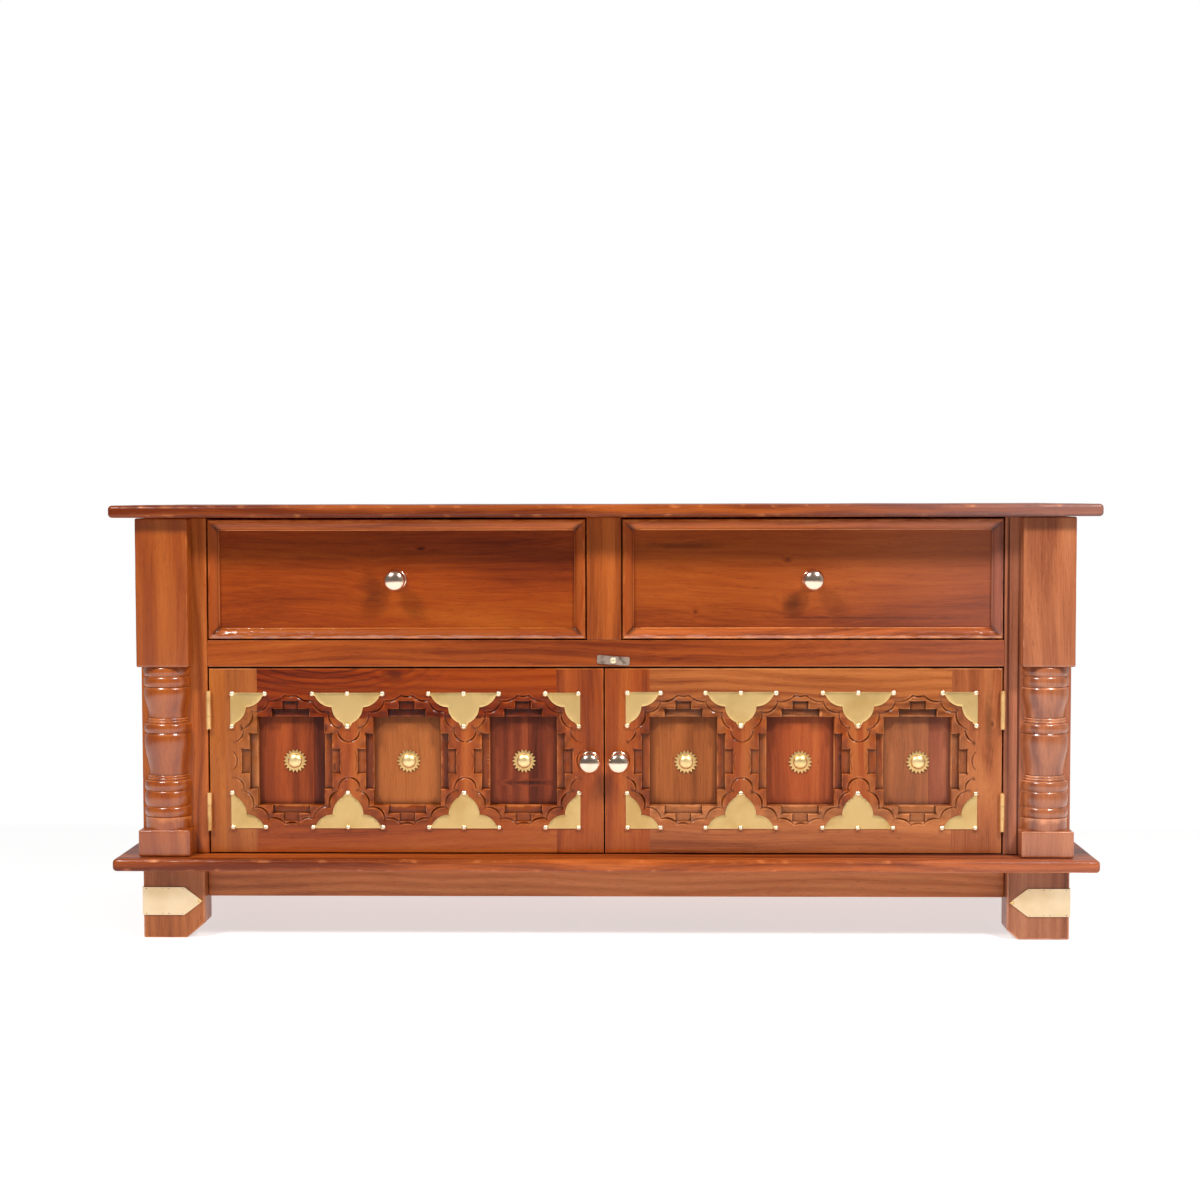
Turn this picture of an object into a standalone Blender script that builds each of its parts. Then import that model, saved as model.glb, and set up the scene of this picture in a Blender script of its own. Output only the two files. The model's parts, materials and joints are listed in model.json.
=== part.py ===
"""Carved sideboard: two drawers over two carved cupboard doors, on bracket feet.

Units are metres, +Z is up and the front faces -Y. The origin is the middle of the
footprint on the floor. Planes across the front are given as setbacks from the front
edge of the top board. The doors hang from empties on their hinge axes and the drawers
from empties on their slides.
"""

import math
from collections import namedtuple

import bmesh
import bpy
from mathutils import Matrix, Vector

OBJECT_NAME = "carved_sideboard"
SIDES = {"left": -1, "right": 1}

# Clearances
CLEAR = 0.0003
DOOR_END_GAP = 0.0015
MEETING_GAP = 0.0020
DRAWER_SIDE_GAP = 0.0015
DRAWER_TOP_GAP = 0.0040
DRAWER_FLOOR_GAP = 0.0015
DRAWER_BACK_SPACE = 0.0160
PIN_CLEARANCE = 0.00025

# Top, base and case
TOP_LENGTH = 1.220
TOP_DEPTH = 0.406
TOP_THICK = 0.016
BASE_THICK = 0.016
EDGE_ROUND = 0.005
EDGE_ROUND_LIMIT = 0.45  # largest share of a board's thickness
CASE_HEIGHT = 0.422
SIDE_OVERHANG = 0.0295
BACK_OVERHANG = 0.010
SIDE_THICK = 0.018
BACK_THICK = 0.008
BACK_INSET = 0.002

# Face frame
POST_SETBACK = 0.017
POST_PROJECTION = 0.026
STILE_WIDTH = 0.083
STILE_THICK = 0.020
CENTRE_STILE_WIDTH = 0.043
RAIL_HEIGHT = 0.0335
DRAWER_OPENING_HEIGHT = 0.1535
STOP_DROP = 0.008
STOP_DEPTH = 0.012

# Drawer floor
SHELF_THICK = 0.014
GUIDE_WIDTH = 0.020
GUIDE_HEIGHT = 0.018

# Split posts: square head, turned middle and square foot
POST_WIDTH = 0.065
POST_PLINTH_HEIGHT = 0.033
TURNING_SETBACK = 0.001
TURNING_OVERLAP = 0.003
COLLAR_RADIUS = 0.0295
BEAD_RADIUS = 0.0305
BEAD_ROOT_RADIUS = 0.0280
VASE_RADIUS = 0.0302
VASE_NECK_RADIUS = 0.0250
VASE_SHOULDER = 0.25
FILLET_RADIUS = 0.0275
UPPER_COLLAR_HEIGHT = 0.0125
UPPER_BEAD_HEIGHT = 0.0130
UPPER_VASE_HEIGHT = 0.0390
FILLET_HEIGHT = 0.0065
MIDDLE_BEAD_HEIGHT = 0.0120
LOWER_VASE_HEIGHT = 0.0530
LOWER_BEAD_HEIGHT = 0.0130
TORUS_HEIGHT = 0.0200
LOWER_COLLAR_HEIGHT = 0.0150

# Feet and aprons
FOOT_HEIGHT = 0.088
FOOT_WIDTH = 0.077
FOOT_DEPTH = 0.040
FOOT_SETBACK = 0.028
FOOT_SIDE_INSET = 0.003
LEFT_CHAMFER_WIDTH = 0.023
LEFT_CHAMFER_HEIGHT = 0.019
RIGHT_CHAMFER_WIDTH = 0.014
RIGHT_CHAMFER_HEIGHT = 0.012
APRON_HEIGHT = 0.039
APRON_THICK = 0.020
APRON_INSET = 0.020
STRAP_THICK = 0.0010
STRAP_HEIGHT = 0.035
STRAP_BOTTOM = 0.029
STRAP_TIP = 0.023
STRAP_TIP_INSET = 0.003
STRAP_RETURN_INSET = 0.006

# Doors
DOOR_THICK = 0.022
DOOR_STILE_WIDTH = 0.0585
DOOR_RAIL_WIDTH = 0.0612
MUNTIN_WIDTH = 0.0620
PANEL_NAMES = ("left", "middle", "right")
PANEL_LAP = 0.014
PANEL_THICK = 0.0075
TERRACE_STEP = 0.010
INNER_TERRACE_WIDTH = 0.047
INNER_TERRACE_HEIGHT = 0.070
INNER_TERRACE_DEPTH = 0.0065
OUTER_TERRACE_WIDTH = 0.020
OUTER_TERRACE_HEIGHT = 0.031
OUTER_TERRACE_DEPTH = 0.0030
ROSETTE_RADIUS = 0.0145
ROSETTE_THICK = 0.0010
ROSETTE_TEETH = 22
ROSETTE_TOOTH = 0.0025
BOSS_RADIUS = 0.0082
BOSS_HEIGHT = 0.0062

# Butt hinges
HINGE_HEIGHT = 0.048
HINGE_END_INSET = 0.028
KNUCKLE_RADIUS = 0.0034
LEAF_THICK = 0.0012
LEAF_DEPTH = 0.018
LEAF_SPACE = 0.0006
PIN_RADIUS = 0.0015

# Knobs
KNOB_RADIUS = 0.0128
KNOB_NECK_RADIUS = 0.0058
KNOB_NECK_LENGTH = 0.0060
KNOB_FLANGE_RADIUS = 0.0090
KNOB_FLANGE_THICK = 0.0020
DOOR_KNOB_INSET = 0.0170

# Drawers
MOULDING_WIDTH = 0.014
MOULDING_THICK = 0.0085
DRAWER_FRONT_THICK = 0.018
DRAWER_SIDE_THICK = 0.012
DRAWER_SIDE_DROP = 0.018
DRAWER_BOTTOM_THICK = 0.006

# Moulding section as shares of its width and thickness, from the outer edge inwards
MOULDING_SECTION = (
    (0.00, 0.00),
    (0.00, 0.75),
    (0.15, 1.00),
    (0.42, 1.00),
    (0.62, 0.62),
    (0.88, 0.48),
    (1.00, 0.25),
    (1.00, 0.00),
)

# Turn button
BUTTON_LENGTH = 0.0406
BUTTON_WIDTH = 0.0110
BUTTON_THICK = 0.0028
BUTTON_PIVOT_RISE = 0.0085
BUTTON_PIVOT_X = 0.0115
BUTTON_REST_TILT = math.radians(4.0)
SCREW_RADIUS = 0.0016
SCREW_LENGTH = 0.012
SCREW_HEAD_RADIUS = 0.0040
SCREW_HEAD_HEIGHT = 0.0020

# Facets
TURNED_STEPS = 40
ROUND_STEPS = 20
ARC_STEPS = 5
EDGE_STEPS = 3
VASE_STEPS = 8
WELD_DISTANCE = 1e-6

# Planes, levels and widths worked out from the sizes above
PANEL_COUNT = len(PANEL_NAMES)
HINGE_GAP = 2 * (LEAF_THICK + CLEAR) + LEAF_SPACE
FRONT = -TOP_DEPTH / 2
CASE_HALF = TOP_LENGTH / 2 - SIDE_OVERHANG
CASE_BACK = TOP_DEPTH / 2 - BACK_OVERHANG
BASE_TOP = FOOT_HEIGHT + BASE_THICK
TOP_BOTTOM = BASE_TOP + CASE_HEIGHT
TOP_SURFACE = TOP_BOTTOM + TOP_THICK
RAIL_TOP = TOP_BOTTOM - DRAWER_OPENING_HEIGHT
RAIL_BOTTOM = RAIL_TOP - RAIL_HEIGHT
POST_FRONT = FRONT + POST_SETBACK
FACE = POST_FRONT + POST_PROJECTION
STILE_BACK = FACE + STILE_THICK
OPENING_HALF = CASE_HALF - STILE_WIDTH
SIDE_INNER = CASE_HALF - SIDE_THICK
BACK_FRONT = CASE_BACK - BACK_INSET - BACK_THICK
SHELF_BOTTOM = RAIL_TOP - SHELF_THICK
FOOT_OUTER = CASE_HALF - FOOT_SIDE_INSET
FOOT_INNER = FOOT_OUTER - FOOT_WIDTH
FOOT_FRONT = FRONT + FOOT_SETBACK
DOOR_LOW = BASE_TOP + DOOR_END_GAP
DOOR_HIGH = RAIL_BOTTOM - DOOR_END_GAP
DOOR_WIDTH = OPENING_HALF - HINGE_GAP - MEETING_GAP / 2
DOOR_MIDDLE_Z = (DOOR_LOW + DOOR_HIGH) / 2
PANEL_OPENING_WIDTH = (
    DOOR_WIDTH - 2 * DOOR_STILE_WIDTH - (PANEL_COUNT - 1) * MUNTIN_WIDTH
) / PANEL_COUNT
PANEL_OPENING_HEIGHT = DOOR_HIGH - DOOR_LOW - 2 * DOOR_RAIL_WIDTH
PANEL_PITCH = PANEL_OPENING_WIDTH + MUNTIN_WIDTH
PANEL_FACE = FACE + DOOR_THICK - PANEL_THICK
HINGE_AXIS_X = OPENING_HALF - HINGE_GAP / 2
HINGE_AXIS_Y = FACE - KNUCKLE_RADIUS
DRAWER_LOW = RAIL_TOP + DRAWER_FLOOR_GAP
DRAWER_HIGH = TOP_BOTTOM - DRAWER_TOP_GAP
DRAWER_INNER_EDGE = CENTRE_STILE_WIDTH / 2 + DRAWER_SIDE_GAP
DRAWER_OUTER_EDGE = OPENING_HALF - DRAWER_SIDE_GAP
DRAWER_FACE = FACE + MOULDING_THICK + CLEAR
DRAWER_BOX_FRONT = DRAWER_FACE + DRAWER_FRONT_THICK + CLEAR
DRAWER_BOX_BACK = BACK_FRONT - DRAWER_BACK_SPACE

# A shape drawn in XY, or turned about Z, faces the front after this turn
FACE_FRONT = (math.pi / 2, 0.0, 0.0)

Look = namedtuple("Look", "colour roughness metallic")
TEAK = Look((0.40, 0.140, 0.040), 0.35, 0.0)
TEAK_RED = Look((0.32, 0.095, 0.030), 0.35, 0.0)
TEAK_DARK = Look((0.20, 0.060, 0.025), 0.40, 0.0)
TEAK_RAW = Look((0.45, 0.260, 0.120), 0.60, 0.0)
BRASS_SHEET = Look((0.80, 0.560, 0.220), 0.35, 1.0)
BRASS_POLISHED = Look((0.86, 0.660, 0.360), 0.12, 1.0)
STEEL_AGED = Look((0.20, 0.165, 0.140), 0.50, 1.0)


def clear_scene():
    """Remove every object that is already in the scene."""
    for piece in list(bpy.data.objects):
        bpy.data.objects.remove(piece, do_unlink=True)


def new_collection(name):
    """Return a new collection under the scene's own."""
    group = bpy.data.collections.new(name)
    bpy.context.scene.collection.children.link(group)
    return group


clear_scene()
PARTS = new_collection(OBJECT_NAME)
CUTTERS = new_collection(f"{OBJECT_NAME}_cutters")


def finish(piece, look):
    """Give a piece a Principled material of its own."""
    material = bpy.data.materials.new(f"{piece.name}_finish")
    material.use_nodes = True
    shader = material.node_tree.nodes["Principled BSDF"]
    shader.inputs["Base Color"].default_value = (*look.colour, 1.0)
    shader.inputs["Roughness"].default_value = look.roughness
    shader.inputs["Metallic"].default_value = look.metallic
    if not piece.data.materials:
        piece.data.materials.append(None)
    piece.material_slots[0].link = "OBJECT"
    piece.material_slots[0].material = material


def add_part(name, mesh, place, look, parent=None, turn=(0.0, 0.0, 0.0)):
    """Add a named piece at a world place, carried by its parent empty if it has one."""
    piece = bpy.data.objects.new(name, mesh)
    PARTS.objects.link(piece)
    piece.parent = parent
    piece.location = Vector(place) - (parent.location if parent else Vector())
    piece.rotation_euler = turn
    finish(piece, look)
    return piece


def add_cutter(name, mesh, place=(0.0, 0.0, 0.0), turn=(0.0, 0.0, 0.0)):
    """Add a hidden shape that is cut from, or joined to, a piece."""
    cutter = bpy.data.objects.new(name, mesh)
    CUTTERS.objects.link(cutter)
    cutter.location = place
    cutter.rotation_euler = turn
    cutter.hide_render = True
    cutter.display_type = "WIRE"
    return cutter


def add_pivot(name, place):
    """Add the empty that carries a moving sub-assembly, on its joint axis."""
    pivot = bpy.data.objects.new(name, None)
    PARTS.objects.link(pivot)
    pivot.location = place
    return pivot


def combine(piece, operand, operation):
    """Cut an operand from a piece, or join it on."""
    modifier = piece.modifiers.new(operand.name, "BOOLEAN")
    modifier.operation = operation
    modifier.object = operand
    modifier.solver = "EXACT"


def box_mesh(name, size):
    """Return a box centred on its origin."""
    mesh = bpy.data.meshes.new(name)
    shape = bmesh.new()
    bmesh.ops.create_cube(shape, size=1.0, matrix=Matrix.Diagonal((*size, 1.0)))
    shape.to_mesh(mesh)
    shape.free()
    return mesh


def span(low, high):
    """Return the size and the middle of the box between two corners."""
    low, high = Vector(low), Vector(high)
    return high - low, (low + high) / 2


def board(name, low, high, look, parent=None):
    """Add a plain board between two corners."""
    size, middle = span(low, high)
    return add_part(name, box_mesh(name, size), middle, look, parent)


def cutting_box(name, low, high):
    """Add a hidden box between two corners."""
    size, middle = span(low, high)
    return add_cutter(name, box_mesh(name, size), middle)


def rod_mesh(name, radius, length):
    """Return a round rod along Z, centred on its origin."""
    mesh = bpy.data.meshes.new(name)
    shape = bmesh.new()
    bmesh.ops.create_cone(
        shape, cap_ends=True, segments=ROUND_STEPS, radius1=radius, radius2=radius, depth=length
    )
    shape.to_mesh(mesh)
    shape.free()
    return mesh


def outline_mesh(name, loops, thickness):
    """Return flat outlines in XY with a thickness; a loop inside another is a hole."""
    curve = bpy.data.curves.new(name, "CURVE")
    curve.dimensions = "2D"
    curve.fill_mode = "BOTH"
    curve.extrude = thickness / 2
    for loop in loops:
        spline = curve.splines.new("POLY")
        spline.points.add(len(loop) - 1)
        spline.use_cyclic_u = True
        for point, (x, y) in zip(spline.points, loop):
            point.co = (x, y, 0.0, 1.0)
    return baked_mesh(add_cutter(name, curve))


def baked_mesh(source):
    """Turn an object with its modifiers into a plain welded mesh, and remove it."""
    scene_state = bpy.context.evaluated_depsgraph_get()
    mesh = bpy.data.meshes.new_from_object(source.evaluated_get(scene_state))
    bpy.data.objects.remove(source, do_unlink=True)
    shape = bmesh.new()
    shape.from_mesh(mesh)
    bmesh.ops.remove_doubles(shape, verts=shape.verts, dist=WELD_DISTANCE)
    bmesh.ops.recalc_face_normals(shape, faces=shape.faces)
    shape.to_mesh(mesh)
    shape.free()
    return mesh


def profile_mesh(name, profile):
    """Return a turned shape's half profile, (radius, height) points from top to bottom."""
    mesh = bpy.data.meshes.new(name)
    points = [(radius, 0.0, height) for radius, height in profile]
    edges = [(index, index + 1) for index in range(len(points) - 1)]
    mesh.from_pydata(points, edges, [])
    return mesh


def turn_profile(piece, steps):
    """Spin a half profile round its Z axis into a closed solid."""
    screw = piece.modifiers.new("turned", "SCREW")
    screw.axis = "Z"
    screw.angle = 2 * math.pi
    screw.steps = steps
    screw.render_steps = steps
    screw.use_merge_vertices = True
    screw.merge_threshold = WELD_DISTANCE
    screw.use_smooth_shade = True


def arc(centre, radius, start, end, steps=ARC_STEPS):
    """Return points along an arc; a pair of radii makes it elliptical."""
    across, along = radius if isinstance(radius, tuple) else (radius, radius)
    angles = [start + (end - start) * index / steps for index in range(steps + 1)]
    return [(centre[0] + across * math.cos(a), centre[1] + along * math.sin(a)) for a in angles]


def rounded_board(name, length, depth, low, high):
    """Add a board whose edges are all rounded over."""
    piece = board(
        name, (-length / 2, -depth / 2, low), (length / 2, depth / 2, high), TEAK
    )
    bevel = piece.modifiers.new("rounded_edges", "BEVEL")
    bevel.width = min(EDGE_ROUND, (high - low) * EDGE_ROUND_LIMIT)
    bevel.segments = EDGE_STEPS
    bevel.limit_method = "NONE"
    return piece


def build_case():
    """Build the boards of the case, its face frame and the drawer floor."""
    low, high = BASE_TOP + CLEAR, TOP_BOTTOM - CLEAR
    rounded_board("top_board", TOP_LENGTH, TOP_DEPTH, TOP_BOTTOM, TOP_SURFACE)
    rounded_board("base_board", TOP_LENGTH, TOP_DEPTH, FOOT_HEIGHT, BASE_TOP)
    for side, sign in SIDES.items():
        xs = sorted((sign * OPENING_HALF, sign * CASE_HALF))
        board(f"{side}_front_stile", (xs[0], FACE, low), (xs[1], STILE_BACK, high), TEAK)
        xs = sorted((sign * SIDE_INNER, sign * CASE_HALF))
        board(f"{side}_side_board", (xs[0], STILE_BACK + CLEAR, low), (xs[1], CASE_BACK, high), TEAK)
    inner = SIDE_INNER - CLEAR
    board(
        "back_panel", (-inner, BACK_FRONT, low), (inner, BACK_FRONT + BACK_THICK, high), TEAK_RAW
    )
    board(
        "drawer_shelf",
        (-inner, STILE_BACK + CLEAR, SHELF_BOTTOM),
        (inner, BACK_FRONT - CLEAR, RAIL_TOP),
        TEAK_RAW,
    )
    half = CENTRE_STILE_WIDTH / 2
    board("centre_stile", (-half, FACE, RAIL_TOP + CLEAR), (half, STILE_BACK, high), TEAK)
    build_guides()
    build_rail()


def build_guides():
    """Build the strips that keep the drawers straight: one between, one at each side."""
    front, back = STILE_BACK + CLEAR, BACK_FRONT - CLEAR
    low, high = RAIL_TOP + CLEAR, RAIL_TOP + GUIDE_HEIGHT
    half = CENTRE_STILE_WIDTH / 2
    board("centre_drawer_guide", (-half, front, low), (half, back, high), TEAK_RAW)
    for side, sign in SIDES.items():
        xs = sorted((sign * OPENING_HALF, sign * (OPENING_HALF + GUIDE_WIDTH)))
        board(f"{side}_drawer_guide", (xs[0], front, low), (xs[1], back, high), TEAK_RAW)


def build_rail():
    """Build the rail over the doors, with its stop lip and the turn button's screw hole."""
    stop_front = FACE + DOOR_THICK + CLEAR
    stop_back = stop_front + STOP_DEPTH
    stop_low = RAIL_BOTTOM - STOP_DROP
    ledge = SHELF_BOTTOM - CLEAR
    section = [
        (FACE, RAIL_BOTTOM),
        (stop_front, RAIL_BOTTOM),
        (stop_front, stop_low),
        (stop_back, stop_low),
        (stop_back, ledge),
        (STILE_BACK, ledge),
        (STILE_BACK, RAIL_TOP),
        (FACE, RAIL_TOP),
    ]
    mesh = outline_mesh("drawer_rail", [section], 2 * (OPENING_HALF - CLEAR))
    along_x = (math.pi / 2, 0.0, math.pi / 2)
    rail = add_part("drawer_rail", mesh, (0.0, 0.0, 0.0), TEAK_RED, turn=along_x)
    depth = SCREW_LENGTH + CLEAR
    hole = add_cutter(
        "turn_button_screw_hole",
        rod_mesh("turn_button_screw_hole", SCREW_RADIUS + CLEAR, 2 * depth),
        (BUTTON_PIVOT_X, FACE, RAIL_BOTTOM + BUTTON_PIVOT_RISE),
        FACE_FRONT,
    )
    combine(rail, hole, "DIFFERENCE")


def bead(top, height):
    """Return a half-round bead below a level, as (radius, height) points."""
    middle = (BEAD_ROOT_RADIUS, top - height / 2)
    radii = (BEAD_RADIUS - BEAD_ROOT_RADIUS, height / 2)
    return arc(middle, radii, math.pi / 2, -math.pi / 2)


def vase(top, height):
    """Return a vase below a level: a shoulder in its top quarter, then a long taper to a neck."""
    points = []
    for index in range(VASE_STEPS + 1):
        share = index / VASE_STEPS
        if share < VASE_SHOULDER:
            swell = math.sin(math.pi / 2 * share / VASE_SHOULDER)
            radius = BEAD_ROOT_RADIUS + (VASE_RADIUS - BEAD_ROOT_RADIUS) * swell
        else:
            fall = (share - VASE_SHOULDER) / (1 - VASE_SHOULDER)
            swell = (1 + math.cos(math.pi * fall)) / 2
            radius = VASE_NECK_RADIUS + (VASE_RADIUS - VASE_NECK_RADIUS) * swell
        points.append((radius, top - height * share))
    return points


def fillet(top, height):
    """Return a plain narrow band below a level."""
    return [(FILLET_RADIUS, top), (FILLET_RADIUS, top - height)]


def turned_profile(base, stack_top):
    """Return the post's turned profile between its square ends, from top to bottom."""
    level = stack_top
    points = [(0.0, level + TURNING_OVERLAP), (COLLAR_RADIUS, level + TURNING_OVERLAP)]
    level -= UPPER_COLLAR_HEIGHT
    points.append((COLLAR_RADIUS, level))
    sections = [
        (bead, UPPER_BEAD_HEIGHT),
        (vase, UPPER_VASE_HEIGHT),
        (fillet, FILLET_HEIGHT),
        (bead, MIDDLE_BEAD_HEIGHT),
        (vase, LOWER_VASE_HEIGHT),
        (fillet, FILLET_HEIGHT),
        (bead, LOWER_BEAD_HEIGHT),
        (bead, TORUS_HEIGHT),
        (bead, LOWER_BEAD_HEIGHT),
    ]
    for shape, height in sections:
        points += shape(level, height)
        level -= height
    points += [(COLLAR_RADIUS, level), (COLLAR_RADIUS, base - TURNING_OVERLAP)]
    points.append((0.0, base - TURNING_OVERLAP))
    return [point for point, after in zip(points, points[1:] + [None]) if point != after]


def build_posts():
    """Build the split posts that are glued to the front stiles."""
    plinth_top = BASE_TOP + CLEAR + POST_PLINTH_HEIGHT
    turned_height = (
        UPPER_COLLAR_HEIGHT + UPPER_BEAD_HEIGHT + UPPER_VASE_HEIGHT + MIDDLE_BEAD_HEIGHT
        + LOWER_VASE_HEIGHT + 2 * FILLET_HEIGHT + 2 * LOWER_BEAD_HEIGHT + TORUS_HEIGHT
        + LOWER_COLLAR_HEIGHT
    )
    head_low = plinth_top + turned_height
    back = FACE - CLEAR
    axis_y = POST_FRONT + TURNING_SETBACK + BEAD_RADIUS
    for side, sign in SIDES.items():
        name = f"{side}_split_post"
        middle = sign * (CASE_HALF - POST_WIDTH / 2)
        low_x, high_x = middle - POST_WIDTH / 2, middle + POST_WIDTH / 2
        profile = profile_mesh(name, turned_profile(plinth_top, head_low))
        post = add_part(name, profile, (middle, axis_y, 0.0), TEAK)
        turn_profile(post, TURNED_STEPS)
        behind = cutting_box(
            f"{name}_split",
            (middle - POST_WIDTH, back, BASE_TOP),
            (middle + POST_WIDTH, back + POST_WIDTH, TOP_BOTTOM),
        )
        head = cutting_box(
            f"{name}_head", (low_x, POST_FRONT, head_low), (high_x, back, TOP_BOTTOM - CLEAR)
        )
        plinth = cutting_box(
            f"{name}_plinth", (low_x, POST_FRONT, BASE_TOP + CLEAR), (high_x, back, plinth_top)
        )
        combine(post, behind, "DIFFERENCE")
        combine(post, head, "UNION")
        combine(post, plinth, "UNION")


def build_feet():
    """Build the bracket feet, the aprons between them and the front feet's brass straps."""
    top = FOOT_HEIGHT - CLEAR
    rows = {"front": FOOT_FRONT + FOOT_DEPTH / 2, "rear": CASE_BACK - FOOT_DEPTH / 2}
    chamfers = {
        "left": (LEFT_CHAMFER_WIDTH, LEFT_CHAMFER_HEIGHT),
        "right": (RIGHT_CHAMFER_WIDTH, RIGHT_CHAMFER_HEIGHT),
    }
    for side, sign in SIDES.items():
        chamfer_width, chamfer_height = chamfers[side]
        outline = [
            (sign * FOOT_OUTER, 0.0),
            (sign * (FOOT_INNER + chamfer_width), 0.0),
            (sign * FOOT_INNER, chamfer_height),
            (sign * FOOT_INNER, top),
            (sign * FOOT_OUTER, top),
        ]
        mesh = outline_mesh(f"{side}_foot", [outline], FOOT_DEPTH)
        for row, middle in rows.items():
            add_part(f"{side}_{row}_foot", mesh, (0.0, middle, 0.0), TEAK, turn=FACE_FRONT)
        xs = sorted(sign * (FOOT_OUTER - APRON_INSET - inset) for inset in (0.0, APRON_THICK))
        board(
            f"{side}_apron",
            (xs[0], FOOT_FRONT + FOOT_DEPTH + CLEAR, FOOT_HEIGHT - APRON_HEIGHT),
            (xs[1], CASE_BACK - FOOT_DEPTH - CLEAR, top),
            TEAK_RED,
        )
        build_strap(side, sign)
    half = FOOT_INNER - CLEAR
    front = FOOT_FRONT + APRON_INSET
    board(
        "front_apron",
        (-half, front, FOOT_HEIGHT - APRON_HEIGHT),
        (half, front + APRON_THICK, top),
        TEAK_RED,
    )


def build_strap(side, sign):
    """Build the arrow-ended brass strap that wraps a front foot's outer corner."""
    name = f"{side}_foot_strap"
    corner = FOOT_OUTER + CLEAR + STRAP_THICK
    tip = FOOT_INNER + STRAP_TIP_INSET
    middle = STRAP_BOTTOM + STRAP_HEIGHT / 2
    outline = [
        (sign * corner, STRAP_BOTTOM),
        (sign * (tip + STRAP_TIP), STRAP_BOTTOM),
        (sign * tip, middle),
        (sign * (tip + STRAP_TIP), STRAP_BOTTOM + STRAP_HEIGHT),
        (sign * corner, STRAP_BOTTOM + STRAP_HEIGHT),
    ]
    mesh = outline_mesh(name, [outline], STRAP_THICK)
    plate_y = FOOT_FRONT - CLEAR - STRAP_THICK / 2
    strap = add_part(name, mesh, (0.0, plate_y, 0.0), BRASS_SHEET, turn=FACE_FRONT)
    xs = sorted((sign * corner, sign * (corner - STRAP_THICK)))
    side_flange = cutting_box(
        f"{name}_return",
        (xs[0], FOOT_FRONT - CLEAR - STRAP_THICK, STRAP_BOTTOM),
        (xs[1], FOOT_FRONT + FOOT_DEPTH - STRAP_RETURN_INSET, STRAP_BOTTOM + STRAP_HEIGHT),
    )
    combine(strap, side_flange, "UNION")


def knob(name, place, parent):
    """Add a ball knob that stands out towards the front from a place on a face."""
    ball_middle = KNOB_FLANGE_THICK + KNOB_NECK_LENGTH + KNOB_RADIUS
    neck_angle = -math.acos(KNOB_NECK_RADIUS / KNOB_RADIUS)
    profile = arc((0.0, ball_middle), KNOB_RADIUS, math.pi / 2, neck_angle, 2 * ARC_STEPS)
    profile[0] = (0.0, profile[0][1])
    profile += [
        (KNOB_NECK_RADIUS, KNOB_FLANGE_THICK),
        (KNOB_FLANGE_RADIUS, KNOB_FLANGE_THICK),
        (KNOB_FLANGE_RADIUS, 0.0),
        (0.0, 0.0),
    ]
    piece = add_part(name, profile_mesh(name, profile), place, BRASS_POLISHED, parent, FACE_FRONT)
    turn_profile(piece, ROUND_STEPS)


def mitred_frame_mesh(name, width, height, section):
    """Return a moulding run round a rectangle with mitred corners.

    The section is a closed outline of (inset from the edge, height off the back) points.
    """
    mesh = bpy.data.meshes.new(name)
    shape = bmesh.new()
    rings = []
    for inset, rise in section:
        half_x, half_y = width / 2 - inset, height / 2 - inset
        corners = [(-half_x, -half_y), (half_x, -half_y), (half_x, half_y), (-half_x, half_y)]
        rings.append([shape.verts.new((x, y, rise)) for x, y in corners])
    for ring, after in zip(rings, rings[1:] + rings[:1]):
        for index in range(len(ring)):
            following = (index + 1) % len(ring)
            shape.faces.new((ring[index], ring[following], after[following], after[index]))
    bmesh.ops.recalc_face_normals(shape, faces=shape.faces)
    shape.to_mesh(mesh)
    shape.free()
    return mesh


def build_drawer(side, sign):
    """Build one drawer: front, applied moulding, knob and a nailed box."""
    name = f"{side}_drawer"
    xs = sorted((sign * DRAWER_INNER_EDGE, sign * DRAWER_OUTER_EDGE))
    middle_x, middle_z = sum(xs) / 2, (DRAWER_LOW + DRAWER_HIGH) / 2
    slide = add_pivot(f"{name}_slide", (middle_x, FACE, middle_z))
    section = [(MOULDING_WIDTH * inset, MOULDING_THICK * rise) for inset, rise in MOULDING_SECTION]
    moulding = mitred_frame_mesh(
        f"{name}_moulding", xs[1] - xs[0], DRAWER_HIGH - DRAWER_LOW, section
    )
    place = (middle_x, FACE + MOULDING_THICK, middle_z)
    add_part(f"{name}_moulding", moulding, place, TEAK_RED, slide, FACE_FRONT)
    front_back = DRAWER_FACE + DRAWER_FRONT_THICK
    board(
        f"{name}_front",
        (xs[0], DRAWER_FACE, DRAWER_LOW),
        (xs[1], front_back, DRAWER_HIGH),
        TEAK_RED,
        slide,
    )
    knob(f"{name}_knob", (middle_x, DRAWER_FACE - CLEAR, middle_z), slide)
    floor_low = RAIL_TOP + CLEAR
    floor_high = floor_low + DRAWER_BOTTOM_THICK
    board(
        f"{name}_bottom",
        (xs[0], DRAWER_BOX_FRONT, floor_low),
        (xs[1], DRAWER_BOX_BACK, floor_high),
        TEAK_RAW,
        slide,
    )
    wall_low, wall_high = floor_high + CLEAR, DRAWER_HIGH - DRAWER_SIDE_DROP
    inner_xs = (xs[0] + DRAWER_SIDE_THICK, xs[1] - DRAWER_SIDE_THICK)
    for hand, low_x, high_x in (("left", xs[0], inner_xs[0]), ("right", inner_xs[1], xs[1])):
        board(
            f"{name}_{hand}_side",
            (low_x, DRAWER_BOX_FRONT, wall_low),
            (high_x, DRAWER_BOX_BACK, wall_high),
            TEAK_RAW,
            slide,
        )
    board(
        f"{name}_back",
        (inner_xs[0] + CLEAR, DRAWER_BOX_BACK - DRAWER_SIDE_THICK, wall_low),
        (inner_xs[1] - CLEAR, DRAWER_BOX_BACK, wall_high),
        TEAK_RAW,
        slide,
    )


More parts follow.
